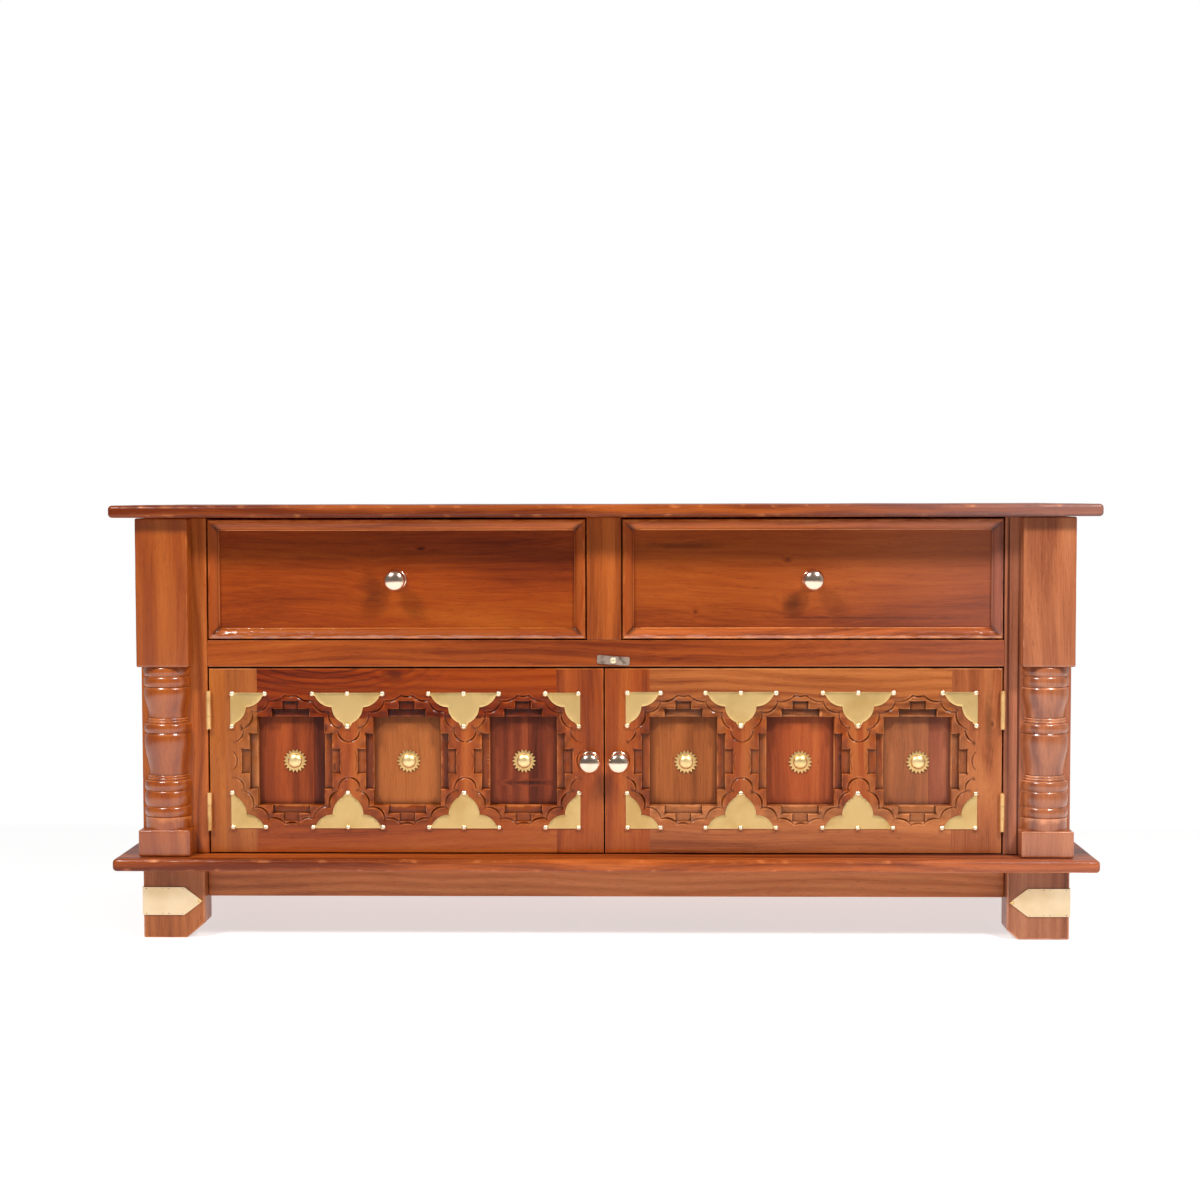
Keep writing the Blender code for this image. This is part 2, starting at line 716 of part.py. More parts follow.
def cross_outline(centre, steps):
    """Return a stepped cross: half sizes of nested rectangles, widest first."""
    corner = [point for pair in zip(steps, steps[1:]) for point in (pair[0], (pair[1][0], pair[0][1]))]
    corner.append(steps[-1])
    mirrored = [(-x, y) for x, y in reversed(corner)]
    upper = corner + mirrored
    lower = [(-x, -y) for x, y in upper]
    return [(centre[0] + x, centre[1] + y) for x, y in upper + lower]


def terrace_cutter(name, centres, steps, depth):
    """Return a cutter that sinks stepped outlines into the door face."""
    loops = [cross_outline(centre, steps) for centre in centres]
    return add_cutter(name, outline_mesh(name, loops, 2 * depth), (0.0, FACE, 0.0), FACE_FRONT)


def build_door(side, sign):
    """Build one carved door: frame, panel board, rosettes, knob and its hinge leaves."""
    name = f"{side}_door"
    edges = sorted((sign * MEETING_GAP / 2, sign * (MEETING_GAP / 2 + DOOR_WIDTH)))
    middle_x = sum(edges) / 2
    pivot = add_pivot(f"{name}_hinge_axis", (sign * HINGE_AXIS_X, HINGE_AXIS_Y, DOOR_MIDDLE_Z))
    frame = board(
        f"{name}_frame",
        (edges[0], FACE, DOOR_LOW),
        (edges[1], FACE + DOOR_THICK, DOOR_HIGH),
        TEAK,
        pivot,
    )
    offsets = [index - (PANEL_COUNT - 1) / 2 for index in range(PANEL_COUNT)]
    centres = [(middle_x + offset * PANEL_PITCH, DOOR_MIDDLE_Z) for offset in offsets]
    half_x, half_z = PANEL_OPENING_WIDTH / 2, PANEL_OPENING_HEIGHT / 2
    opening = [(half_x, half_z)]
    inner = [
        (half_x + TERRACE_STEP, INNER_TERRACE_HEIGHT / 2),
        (half_x, half_z),
        (INNER_TERRACE_WIDTH / 2, half_z + TERRACE_STEP),
    ]
    outer = [
        (half_x + 2 * TERRACE_STEP, OUTER_TERRACE_HEIGHT / 2),
        (half_x + TERRACE_STEP, INNER_TERRACE_HEIGHT / 2),
        (half_x, half_z),
        (INNER_TERRACE_WIDTH / 2, half_z + TERRACE_STEP),
        (OUTER_TERRACE_WIDTH / 2, half_z + 2 * TERRACE_STEP),
    ]
    cuts = {
        "outer_terraces": (outer, OUTER_TERRACE_DEPTH),
        "inner_terraces": (inner, INNER_TERRACE_DEPTH),
        "openings": (opening, 2 * DOOR_THICK),
    }
    for cut, (steps, depth) in cuts.items():
        combine(frame, terrace_cutter(f"{name}_{cut}", centres, steps, depth), "DIFFERENCE")
    reach_x = centres[-1][0] - middle_x + half_x + PANEL_LAP
    reach_z = half_z + PANEL_LAP
    rebate = cutting_box(
        f"{name}_rebate",
        (middle_x - reach_x - CLEAR, PANEL_FACE - CLEAR, DOOR_MIDDLE_Z - reach_z - CLEAR),
        (middle_x + reach_x + CLEAR, PANEL_FACE + 2 * DOOR_THICK, DOOR_MIDDLE_Z + reach_z + CLEAR),
    )
    combine(frame, rebate, "DIFFERENCE")
    board(
        f"{name}_panel",
        (middle_x - reach_x, PANEL_FACE, DOOR_MIDDLE_Z - reach_z),
        (middle_x + reach_x, PANEL_FACE + PANEL_THICK, DOOR_MIDDLE_Z + reach_z),
        TEAK_DARK,
        pivot,
    )
    for place, centre in zip(PANEL_NAMES, centres):
        add_part(
            f"{name}_{place}_rosette",
            rosette_mesh(f"{name}_{place}_rosette"),
            (centre[0], PANEL_FACE - CLEAR, centre[1]),
            BRASS_SHEET,
            pivot,
            FACE_FRONT,
        )
    knob_x = sign * (MEETING_GAP / 2 + DOOR_KNOB_INSET)
    knob(f"{name}_knob", (knob_x, FACE - CLEAR, DOOR_MIDDLE_Z), pivot)
    build_hinges(side, sign, pivot)


def rosette_mesh(name):
    """Return a toothed brass disc with a domed boss, its back on the XY plane."""
    teeth = []
    for index in range(2 * ROSETTE_TEETH):
        radius = ROSETTE_RADIUS - (index % 2) * ROSETTE_TOOTH
        angle = math.pi * index / ROSETTE_TEETH
        teeth.append((radius * math.cos(angle), radius * math.sin(angle)))
    disc = add_cutter(f"{name}_disc", outline_mesh(name, [teeth], ROSETTE_THICK))
    disc.location.z = ROSETTE_THICK / 2
    dome = arc((0.0, ROSETTE_THICK), (BOSS_RADIUS, BOSS_HEIGHT), math.pi / 2, 0.0)
    dome[0] = (0.0, ROSETTE_THICK + BOSS_HEIGHT)
    root = ROSETTE_THICK / 2
    profile = dome + [(BOSS_RADIUS, root), (0.0, root)]
    boss = add_cutter(f"{name}_boss", profile_mesh(f"{name}_boss", profile))
    turn_profile(boss, ROUND_STEPS)
    combine(boss, disc, "UNION")
    mesh = baked_mesh(boss)
    bpy.data.objects.remove(disc, do_unlink=True)
    return mesh


def leaf_mesh(name, knuckles, plate_x, bore):
    """Return a hinge leaf about its pin, which runs along Z through the origin.

    A leaf with a bore turns on the pin; one without carries the pin itself.
    """
    tab_height = HINGE_HEIGHT / 3 - CLEAR
    plate_front = KNUCKLE_RADIUS + CLEAR
    size, middle = span(
        (plate_x[0], plate_front, -HINGE_HEIGHT / 2),
        (plate_x[1], plate_front + LEAF_DEPTH, HINGE_HEIGHT / 2),
    )
    leaf = add_cutter(name, box_mesh(name, size), (0.0, 0.0, 0.0))
    leaf.data.transform(Matrix.Translation(middle))
    helpers = []
    for index, level in enumerate(knuckles):
        barrel = add_cutter(
            f"{name}_knuckle_{index}", rod_mesh(name, KNUCKLE_RADIUS, tab_height), (0.0, 0.0, level)
        )
        tab = cutting_box(
            f"{name}_tab_{index}",
            (plate_x[0], 0.0, level - tab_height / 2),
            (plate_x[1], plate_front + LEAF_DEPTH / 2, level + tab_height / 2),
        )
        helpers += [(barrel, "UNION"), (tab, "UNION")]
    if bore:
        hole = add_cutter(f"{name}_bore", rod_mesh(name, PIN_RADIUS + PIN_CLEARANCE, 2 * HINGE_HEIGHT))
        helpers.append((hole, "DIFFERENCE"))
    else:
        pin = add_cutter(f"{name}_pin", rod_mesh(name, PIN_RADIUS, HINGE_HEIGHT - 2 * CLEAR))
        helpers.append((pin, "UNION"))
    for helper, operation in helpers:
        combine(leaf, helper, operation)
    mesh = baked_mesh(leaf)
    for helper, _ in helpers:
        bpy.data.objects.remove(helper, do_unlink=True)
    return mesh


def build_hinges(side, sign, pivot):
    """Build a door's two butt hinges: a leaf with its pin on the stile, a leaf on the door."""
    outer, inner = CLEAR - HINGE_GAP / 2, CLEAR - HINGE_GAP / 2 + LEAF_THICK
    knuckle_pitch = HINGE_HEIGHT / 3
    fixed = leaf_mesh(f"{side}_fixed_leaf", (-knuckle_pitch, knuckle_pitch), (outer, inner), bore=False)
    moving = leaf_mesh(f"{side}_moving_leaf", (0.0,), (-inner, -outer), bore=True)
    turn = (0.0, 0.0, 0.0) if sign < 0 else (0.0, math.pi, 0.0)
    levels = {
        "upper": DOOR_HIGH - HINGE_END_INSET - HINGE_HEIGHT / 2,
        "lower": DOOR_LOW + HINGE_END_INSET + HINGE_HEIGHT / 2,
    }
    for level, height in levels.items():
        place = (sign * HINGE_AXIS_X, HINGE_AXIS_Y, height)
        add_part(f"{side}_{level}_frame_leaf", fixed, place, BRASS_SHEET, turn=turn)
        add_part(f"{side}_{level}_door_leaf", moving, place, BRASS_SHEET, pivot, turn)


def build_turn_button():
    """Build the turn button that holds the doors shut, and the screw it turns on."""
    height = RAIL_BOTTOM + BUTTON_PIVOT_RISE
    half_run, end = BUTTON_LENGTH / 2 - BUTTON_WIDTH / 2, BUTTON_WIDTH / 2
    outline = arc((half_run, 0.0), end, -math.pi / 2, math.pi / 2)
    outline += arc((-half_run, 0.0), end, math.pi / 2, 3 * math.pi / 2)
    hole = arc((0.0, 0.0), SCREW_RADIUS + CLEAR, 0.0, 2 * math.pi, ROUND_STEPS)[:-1]
    mesh = outline_mesh("turn_button", [outline, hole], BUTTON_THICK)
    place = (BUTTON_PIVOT_X, FACE - CLEAR - BUTTON_THICK / 2, height)
    add_part("turn_button", mesh, place, STEEL_AGED, turn=(math.pi / 2, BUTTON_REST_TILT, 0.0))
    head_seat = BUTTON_THICK + 2 * CLEAR
    profile = arc((0.0, head_seat), (SCREW_HEAD_RADIUS, SCREW_HEAD_HEIGHT), math.pi / 2, 0.0)
    profile[0] = (0.0, head_seat + SCREW_HEAD_HEIGHT)
    profile += [(SCREW_RADIUS, head_seat), (SCREW_RADIUS, -SCREW_LENGTH), (0.0, -SCREW_LENGTH)]
    screw = add_part(
        "turn_button_screw",
        profile_mesh("turn_button_screw", profile),
        (BUTTON_PIVOT_X, FACE, height),
        BRASS_SHEET,
        turn=FACE_FRONT,
    )
    turn_profile(screw, ROUND_STEPS)


def main():
    """Build the whole sideboard."""
    build_case()
    build_posts()
    build_feet()
    for side, sign in SIDES.items():
        build_drawer(side, sign)
        build_door(side, sign)
    build_turn_button()


main()
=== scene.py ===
"""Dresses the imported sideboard: carved doors, turned posts, brass mounts and lacquered wood.

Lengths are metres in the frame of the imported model: X to the right, the front towards -Y
and Z up from the floor. Every piece is drawn in place and rides on a body of the model.
"""

import json
import logging
import math
import random
from dataclasses import dataclass, replace
from enum import Enum

import bmesh
import bpy
import numpy as np
from mathutils import Euler, Matrix, Vector
from mathutils.geometry import delaunay_2d_cdt

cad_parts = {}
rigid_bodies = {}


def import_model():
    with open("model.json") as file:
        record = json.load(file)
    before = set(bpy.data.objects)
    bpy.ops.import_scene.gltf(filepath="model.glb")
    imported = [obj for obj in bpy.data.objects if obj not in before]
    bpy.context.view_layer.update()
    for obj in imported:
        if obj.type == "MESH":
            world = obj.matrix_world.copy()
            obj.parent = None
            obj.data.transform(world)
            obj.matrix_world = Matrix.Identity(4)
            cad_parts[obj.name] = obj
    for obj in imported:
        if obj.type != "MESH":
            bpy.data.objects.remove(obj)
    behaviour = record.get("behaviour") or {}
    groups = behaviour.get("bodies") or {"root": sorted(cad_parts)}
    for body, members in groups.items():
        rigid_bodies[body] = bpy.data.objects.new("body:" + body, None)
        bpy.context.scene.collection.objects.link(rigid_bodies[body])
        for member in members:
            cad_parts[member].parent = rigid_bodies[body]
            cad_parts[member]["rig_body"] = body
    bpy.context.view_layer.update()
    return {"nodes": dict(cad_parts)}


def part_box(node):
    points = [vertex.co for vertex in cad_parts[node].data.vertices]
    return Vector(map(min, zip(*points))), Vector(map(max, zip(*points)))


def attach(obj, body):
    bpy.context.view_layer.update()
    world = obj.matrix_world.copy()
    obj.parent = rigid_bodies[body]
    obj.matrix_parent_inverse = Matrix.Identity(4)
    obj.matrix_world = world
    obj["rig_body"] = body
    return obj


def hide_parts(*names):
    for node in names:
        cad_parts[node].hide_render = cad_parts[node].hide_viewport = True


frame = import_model()
LOG = logging.getLogger("sideboard")

MM = 0.001
Flat = tuple[float, float]
Triple = tuple[float, float, float]
Run = tuple[float, ...]
Socket = bpy.types.NodeSocket
# The turn that points the axis of a spun piece at the front.
FACE_FRONT = Matrix.Rotation(math.pi / 2, 4, "X")
# Flats have points this far from their arrises, which keeps them looking flat.
GUARD = 1.6 * MM
# Cuts in each half of a rounded arris.
ROUND_CUTS = 3
# The area from which a face counts as a flat.
LEAST_FLAT = 40 * MM * MM


class Slot(Enum):
    """The record's material slots."""

    CASE = "case_wood"
    RED = "red_wood"
    CARVED = "carved_wood"
    PANEL = "panel_wood"
    INNER = "inner_wood"
    SHEET = "sheet_brass"
    POLISHED = "polished_brass"
    STEEL = "aged_steel"


class Side(Enum):
    """The two hands of the case, with the sign of their X."""

    LEFT = -1
    RIGHT = 1

    @property
    def word(self) -> str:
        """The side's name as the CAD nodes spell it."""
        return self.name.lower()


class Grain(Enum):
    """Where the fibres run: the turn that lays them along a texture's X axis."""

    LENGTHWISE = (0.0, 0.0, 0.0)
    UPRIGHT_SIDE = (0.0, math.pi / 2, 0.0)
    UPRIGHT_FRONT = (math.pi / 2, 0.0, math.pi / 2)
    DEPTHWISE = (0.0, 0.0, -math.pi / 2)


@dataclass(frozen=True)
class Colour:
    """A display colour, 0 to 255 for each of its parts."""

    red: int
    green: int
    blue: int

    @property
    def linear(self) -> tuple[float, float, float, float]:
        """The colour as a shader socket takes it."""
        parts = (self.red, self.green, self.blue)
        return (*(((part / 255 + 0.055) / 1.055) ** 2.4 for part in parts), 1.0)

    def dimmed(self, share: float) -> "Colour":
        """Return the colour with each part cut to a share."""
        return Colour(int(self.red * share), int(self.green * share), int(self.blue * share))

    def rubbed(self) -> "Colour":
        """Return the paler colour of wood whose lacquer is rubbed off."""
        return Colour(*(min(255, int(part * 1.12 + 30)) for part in (self.red, self.green, self.blue)))


class Wiring:
    """A node tree while it is being wired."""

    def __init__(self, tree: bpy.types.NodeTree) -> None:
        """Take the tree."""
        self.tree = tree

    def feed(self, socket: Socket, value: object) -> None:
        """Link a socket to another one, or set its constant.

        Args:
            socket: The socket to feed.
            value: Another socket, or a constant.
        """
        if isinstance(value, Socket):
            self.tree.links.new(value, socket)
        else:
            socket.default_value = value

    def add(self, kind: str, inputs: dict, **settings: object) -> bpy.types.Node:
        """Add a node.

        Args:
            kind: The node's type name.
            inputs: A socket or constant for each input, by name or number.
            settings: The node's own properties.

        Returns:
            The new node.
        """
        node = self.tree.nodes.new(kind)
        for key, value in settings.items():
            setattr(node, key, value)
        for key, value in inputs.items():
            self.feed(node.inputs[key], value)
        return node

    def reckon(self, operation: str, *numbers: object) -> Socket:
        """Return the result of an operation on numbers."""
        return self.add("ShaderNodeMath", dict(enumerate(numbers)), operation=operation).outputs[0]


class Sketch(Wiring):
    """A material's node tree, with the patterns that the finishes are made of."""

    def __init__(self, name: str) -> None:
        """Start a material with a bare Principled shader.

        Args:
            name: The material's name.
        """
        self.material = bpy.data.materials.new(name)
        self.material.use_nodes = True
        super().__init__(self.material.node_tree)
        self.shader = self.tree.nodes["Principled BSDF"]

    def place(self) -> Socket:
        """Return the object's own coordinates."""
        return self.add("ShaderNodeTexCoord", {}).outputs["Object"]

    def noise(self, vector: object, scale: float, detail: float) -> Socket:
        """Return soft noise from 0 to 1."""
        inputs = {"Vector": vector, "Scale": scale, "Detail": detail}
        return self.add("ShaderNodeTexNoise", inputs).outputs["Fac"]

    def stretched(self, vector: object, factors: tuple) -> Socket:
        """Return a vector scaled along each axis."""
        return self.add("ShaderNodeVectorMath", {0: vector, 1: factors}, operation="MULTIPLY").outputs[0]

    def grained(self, vector: object, rates: tuple, detail: float) -> Socket:
        """Return noise that changes at its own rate along each axis."""
        return self.noise(self.stretched(vector, rates), 1.0, detail)

    def moved(self, vector: object, by: object) -> Socket:
        """Return a vector moved by another."""
        return self.add("ShaderNodeVectorMath", {0: vector, 1: by}).outputs[0]

    def sum(self, first: object, second: object) -> Socket:
        """Return two numbers added."""
        return self.reckon("ADD", first, second)

    def product(self, first: object, second: object) -> Socket:
        """Return two numbers multiplied."""
        return self.reckon("MULTIPLY", first, second)

    def share(
        self, value: object, low: float, high: float, least: float = 0.0, most: float = 1.0
    ) -> Socket:
        """Return a value eased from the range low to high into the range least to most."""
        inputs = {0: value, 1: low, 2: high, 3: least, 4: most}
        return self.add("ShaderNodeMapRange", inputs, interpolation_type="SMOOTHSTEP").outputs[0]

    def mix(self, factor: object, first: object, second: object) -> Socket:
        """Return a blend of two colours."""
        node = self.add("ShaderNodeMix", {0: factor, 6: first, 7: second}, data_type="RGBA")
        return node.outputs[2]

    def ramp(self, factor: object, stops: list[tuple[float, Colour]]) -> Socket:
        """Return a colour from a row of colour stops.

        Args:
            factor: Where to look along the row, 0 to 1.
            stops: Each stop's place and colour.

        Returns:
            The colour there.
        """
        node = self.add("ShaderNodeValToRGB", {0: factor})
        elements = node.color_ramp.elements
        while len(elements) < len(stops):
            elements.new(0.5)
        for element, (position, colour) in zip(elements, stops):
            element.position = position
            element.color = colour.linear
        return node.outputs[0]

    def bump(self, height: object, distance: float, strength: float, socket: str = "Normal") -> None:
        """Raise the surface, or the lacquer over it, by a height pattern."""
        inputs = {"Height": height, "Distance": distance, "Strength": strength}
        self.feed(self.shader.inputs[socket], self.add("ShaderNodeBump", inputs).outputs[0])

    def mark(self, name: str) -> Socket:
        """Return a mark of the mesh: edge is 1 on an arris and -1 in a corner, and the second mark is 1 where
        stains and painted shade darken it.
        """
        return self.add("ShaderNodeAttribute", {}, attribute_name=name).outputs["Fac"]


# A painted reflection haze: grey mixed into the wood's colour, growing along X towards the right end of the
# case.
REFLECTION_HAZE = Colour(149, 134, 134)
REFLECTION_HAZE_SPAN = (0.15, 0.62)
# How often the patterns of wood change in a metre, along the grain and both ways across it.
FIBRE_RATES = (14.0, 520.0, 520.0)
PORE_RATES = (70.0, 1500.0, 1500.0)
LINE_RATES = (1.3, 75.0, 75.0)
CHATTER_RATES = (70.0, 320.0, 320.0)
SWAY_ACROSS = 8.0
TONE_ALONG = 1.6
STREAK_ALONG = 1.1
RING_ALONG = 0.09
WEAR_RATE = 55.0
# How far the grain moves aside at a knot, and from one glued plank to the next.
KNOT_PUSH = (0.0, 0.004, 0.008)
PLANK_JUMP = (3.0, 0.0, 0.09)


@dataclass(frozen=True)
class Knot:
    """A knot in a face of a board: its place and reach, and the dark rings round it if it has any."""

    place: Triple
    reach: Triple
    depth: float = 0.8
    rings: float = 0.0


@dataclass(frozen=True)
class WoodFinish:
    """Lacquered wood with growth rings, fibres, pores, dark streaks, rubbed edges, painted shade and a
    painted reflection haze.
    """

    name: str
    light: Colour
    middle: Colour
    dark: Colour
    grain: Grain = Grain.LENGTHWISE
    lean: float = 0.0
    ring_width: float = 0.012
    ring_share: float = 0.12
    streaks: float = 0.5
    wear: float = 0.6
    gloss: float = 0.28
    polish: float = 0.17
    coat_index: float = 1.5
    chatter: float = 0.15 * MM
    spread: float = 20.0
    streak_rate: float = 24.0
    lines: float = 0.20
    sway: Flat = (2.2, 0.05)
    roughness: Flat = (0.32, 0.50)
    pore_dark: float = 0.35
    # How dark the concave corners and creases are painted: painted shade.
    corner_dark: float = 0.75
    sheen: float = 0.12
    pitting: Flat = (0.5 * MM, 0.18)
    plank: float = 0.0
    # How much painted reflection haze the wood takes towards the right end of the case.
    bloom: float = 0.0
    knots: tuple[Knot, ...] = ()

    def material(self, piece: str, centre: Vector) -> bpy.types.Material:
        """Make this wood for one board.

        Args:
            piece: The board's name, which also settles its share of chance.
            centre: The middle of the board.

        Returns:
            The board's own material.
        """
        wood = Sketch(f"{piece}_{self.name}")
        laid = self.laid(wood, f"{piece} {self.name}", centre)
        tone = wood.grained(laid, (TONE_ALONG, self.spread, self.spread), 4.0)
        deep = self.dark.dimmed(0.5).linear
        seam = knotted = None
        if self.plank:
            laid, tone, seam = self.planked(wood, laid, tone)
        swing, amount = self.sway
        waves = wood.stretched(laid, (swing, SWAY_ACROSS, SWAY_ACROSS))
        warp = wood.add("ShaderNodeTexNoise", {"Vector": waves, "Scale": 1.0})
        bent = wood.moved(laid, wood.stretched(warp.outputs["Color"], (0.0, amount, amount)))
        for knot in self.knots:
            bent, knotted = self.knotted(wood, bent, knot, knotted)
        fibres = wood.grained(bent, FIBRE_RATES, 4.0)
        pores = wood.share(wood.grained(bent, PORE_RATES, 1.0), 0.60, 0.74)
        streak = wood.grained(bent, (STREAK_ALONG, self.streak_rate, self.streak_rate), 4.0)
        figure = self.figure(wood, bent, tone, fibres)
        colour = wood.ramp(figure, [(0.40, self.dark), (0.58, self.middle), (0.76, self.light)])
        streaked = wood.product(wood.share(streak, 0.54, 0.76), self.streaks)
        colour = wood.mix(streaked, colour, self.dark.linear)
        for mark in (wood.product(pores, self.pore_dark), knotted, seam):
            if mark is not None:
                colour = wood.mix(mark, colour, deep)
        wood.feed(wood.shader.inputs["Base Color"], self.aged(wood, colour, deep))
        self.lacquer(wood, laid, fibres, pores)
        return wood.material

    def aged(self, wood: Sketch, colour: object, deep: tuple) -> Socket:
        """Rub the arrises pale, paint shade into the concave corners, darken the stains and the painted shade
        that the mesh marks, and paint a reflection haze.

        Args:
            wood: The material in the making.
            colour: The colour of the new wood.
            deep: The colour of its darkest marks.

        Returns:
            The colour of the aged wood.
        """
        edge = wood.mark("edge")
        rubbed = wood.product(wood.noise(wood.place(), WEAR_RATE, 5.0), 1.5)
        worn = wood.share(wood.sum(rubbed, edge), 1.25, 1.85, 0.0, self.wear)
        colour = wood.mix(worn, colour, self.light.rubbed().linear)
        # Darken the concave corners and creases: painted shade.
        colour = wood.mix(wood.share(edge, -0.15, -1.0, 0.0, self.corner_dark), colour, deep)
        # Darken by the mesh's second mark: stains, and painted shade in recesses, grooves and gaps.
        colour = wood.mix(wood.mark("stain"), colour, deep)
        # A painted reflection haze, growing towards the right end of the case.
        if self.bloom:
            across = wood.add("ShaderNodeSeparateXYZ", {0: wood.place()}).outputs[0]
            colour = wood.mix(wood.share(across, *REFLECTION_HAZE_SPAN, 0.0, self.bloom), colour, REFLECTION_HAZE.linear)
        return colour

    def lacquer(self, wood: Sketch, laid: object, fibres: object, pores: object) -> None:
        """Sink the pores, and lay a coat of lacquer with its tool marks.

        Args:
            wood: The material in the making.
            laid: Coordinates along and across the grain.
            fibres: The finest lines.
            pores: Where the pores are.
        """
        inputs = wood.shader.inputs
        wood.feed(inputs["Roughness"], wood.share(wood.sum(fibres, pores), 0.35, 1.1, *self.roughness))
        inputs["Specular IOR Level"].default_value = self.sheen
        inputs["Coat Weight"].default_value = self.gloss
        inputs["Coat Roughness"].default_value = self.polish
        inputs["Coat IOR"].default_value = self.coat_index
        wood.bump(wood.grained(laid, CHATTER_RATES, 1.0), self.chatter, 1.0, "Coat Normal")
        wood.bump(wood.sum(fibres, wood.product(pores, -1.2)), *self.pitting)

    def laid(self, wood: Sketch, seed: str, centre: Vector) -> Socket:
        """Lay the fibres along a board, with the tree's heart a little behind its face.

        Args:
            wood: The material in the making.
            seed: What settles the board's share of chance.
            centre: The middle of the board.

        Returns:
            Coordinates along and across the grain.
        """
        chance = random.Random(seed)
        turn = Euler(self.grain.value).to_matrix() @ Matrix.Rotation(self.lean, 3, "Y")
        heart = Vector((chance.uniform(-4, 4), chance.uniform(-0.03, 0.03), chance.uniform(0.05, 0.11)))
        inputs = {"Vector": wood.place(), "Location": heart - turn @ centre, "Rotation": turn.to_euler()}
        return wood.add("ShaderNodeMapping", inputs).outputs[0]

    def figure(self, wood: Sketch, bent: object, tone: object, fibres: object) -> Socket:
        """Put the growth rings, the grain lines and the fibres together.

        Args:
            wood: The material in the making.
            bent: Coordinates along and across the grain.
            tone: The board's slow change of tone.
            fibres: The finest lines.

        Returns:
            The figure, about 0.6 on average.
        """
        inputs = {"Vector": wood.stretched(bent, (RING_ALONG, 1.0, 1.0)), "Scale": 0.314 / self.ring_width}
        inputs |= {"Distortion": 4.5, "Detail": 3.0, "Detail Scale": 0.6}
        rings = wood.add("ShaderNodeTexWave", inputs, wave_type="RINGS", rings_direction="X").outputs["Fac"]
        lines = wood.grained(bent, LINE_RATES, 5.0)
        rest = 0.96 - self.ring_share - self.lines
        parts = [(rings, self.ring_share), (lines, self.lines), (fibres, 0.22), (tone, rest)]
        total = 0.01
        for part, share in parts:
            total = wood.sum(total, wood.product(part, share))
        return total

    def planked(self, wood: Sketch, laid: object, tone: object) -> tuple[object, object, object]:
        """Divide a wide board into glued planks.

        Args:
            wood: The material in the making.
            laid: Coordinates along and across the grain.
            tone: The board's slow change of tone.

        Returns:
            Coordinates and tone that jump from plank to plank, and the glue lines.
        """
        across = wood.add("ShaderNodeSeparateXYZ", {0: laid}).outputs[1]
        planks = wood.reckon("DIVIDE", across, self.plank)
        number = wood.reckon("FLOOR", planks)
        chance = wood.add("ShaderNodeTexWhiteNoise", {"W": number}, noise_dimensions="1D")
        moved = wood.moved(laid, wood.stretched(chance.outputs["Color"], PLANK_JUMP))
        lift = wood.share(chance.outputs["Value"], 0.0, 1.0, -0.16, 0.16)
        middle = wood.reckon("SUBTRACT", wood.reckon("FRACT", planks), 0.5)
        offset = wood.reckon("ABSOLUTE", middle)
        return moved, wood.sum(tone, lift), wood.share(offset, 0.494, 0.499, 0.0, 0.7)

    def knotted(self, wood: Sketch, bent: object, knot: Knot, before: object) -> tuple[object, object]:
        """Bend the grain round a knot.

        Args:
            wood: The material in the making.
            bent: Coordinates along and across the grain.
            knot: The knot.
            before: The darkness of the knots so far, or None.

        Returns:
            The bent coordinates and the darkness of the knots.
        """
        away = wood.moved(wood.place(), tuple(-part for part in knot.place))
        away = wood.stretched(away, tuple(1 / reach for reach in knot.reach))
        far = wood.add("ShaderNodeVectorMath", {0: away}, operation="LENGTH").outputs["Value"]
        near = wood.share(far, 1.6, 0.0)
        push = wood.add("ShaderNodeCombineXYZ", {1: near, 2: near}).outputs[0]
        moved = wood.moved(bent, wood.stretched(push, KNOT_PUSH))
        uneven = wood.noise(wood.place(), 70.0, 3.0)
        if knot.rings:
            turned = wood.product(wood.sum(far, wood.product(uneven, 0.07)), knot.rings)
            wave = wood.reckon("SINE", turned)
            dark = wood.product(wood.share(wave, 0.1, 0.95, 0.0, knot.depth), near)
        else:
            reach = wood.sum(far, wood.product(uneven, 0.8))
            dark = wood.share(reach, 1.35, 0.45, 0.0, knot.depth)
        return moved, dark if before is None else wood.reckon("MAXIMUM", before, dark)


@dataclass(frozen=True)
class MetalFinish:
    """Metal with smudges, tarnish and a slightly uneven skin."""

    name: str
    bright: Colour
    tarnish: Colour
    roughness: Flat
    smudge: float
    dents: float

    def material(self) -> bpy.types.Material:
        """Make this metal, once.

        Returns:
            The material that its pieces share.
        """
        made = bpy.data.materials.get(self.name)
        if made is not None:
            return made
        metal = Sketch(self.name)
        place = metal.place()
        smudge = metal.noise(place, self.smudge, 5.0)
        stain = metal.noise(place, self.smudge * 0.45, 3.0)
        colour = metal.mix(metal.share(stain, 0.46, 0.74), self.bright.linear, self.tarnish.linear)
        edge = metal.mark("edge")
        colour = metal.mix(metal.share(edge, -0.2, -1.0, 0.0, 0.6), colour, self.tarnish.linear)
        metal.feed(metal.shader.inputs["Base Color"], colour)
        metal.feed(metal.shader.inputs["Roughness"], metal.share(smudge, 0.3, 0.75, *self.roughness))
        metal.shader.inputs["Metallic"].default_value = 1.0
        metal.bump(metal.noise(place, self.smudge * 4.0, 2.0), 0.0004, self.dents)
        return metal.material


CASE_WOOD = WoodFinish(
    "case_teak", Colour(178, 95, 40), Colour(154, 72, 25), Colour(106, 41, 13), streaks=0.35
)
RED_WOOD = WoodFinish(
    "red_teak", Colour(168, 84, 20), Colour(142, 58, 11), Colour(90, 27, 5),
    streaks=0.3, spread=12.0, lines=0.10, ring_share=0.06,
)
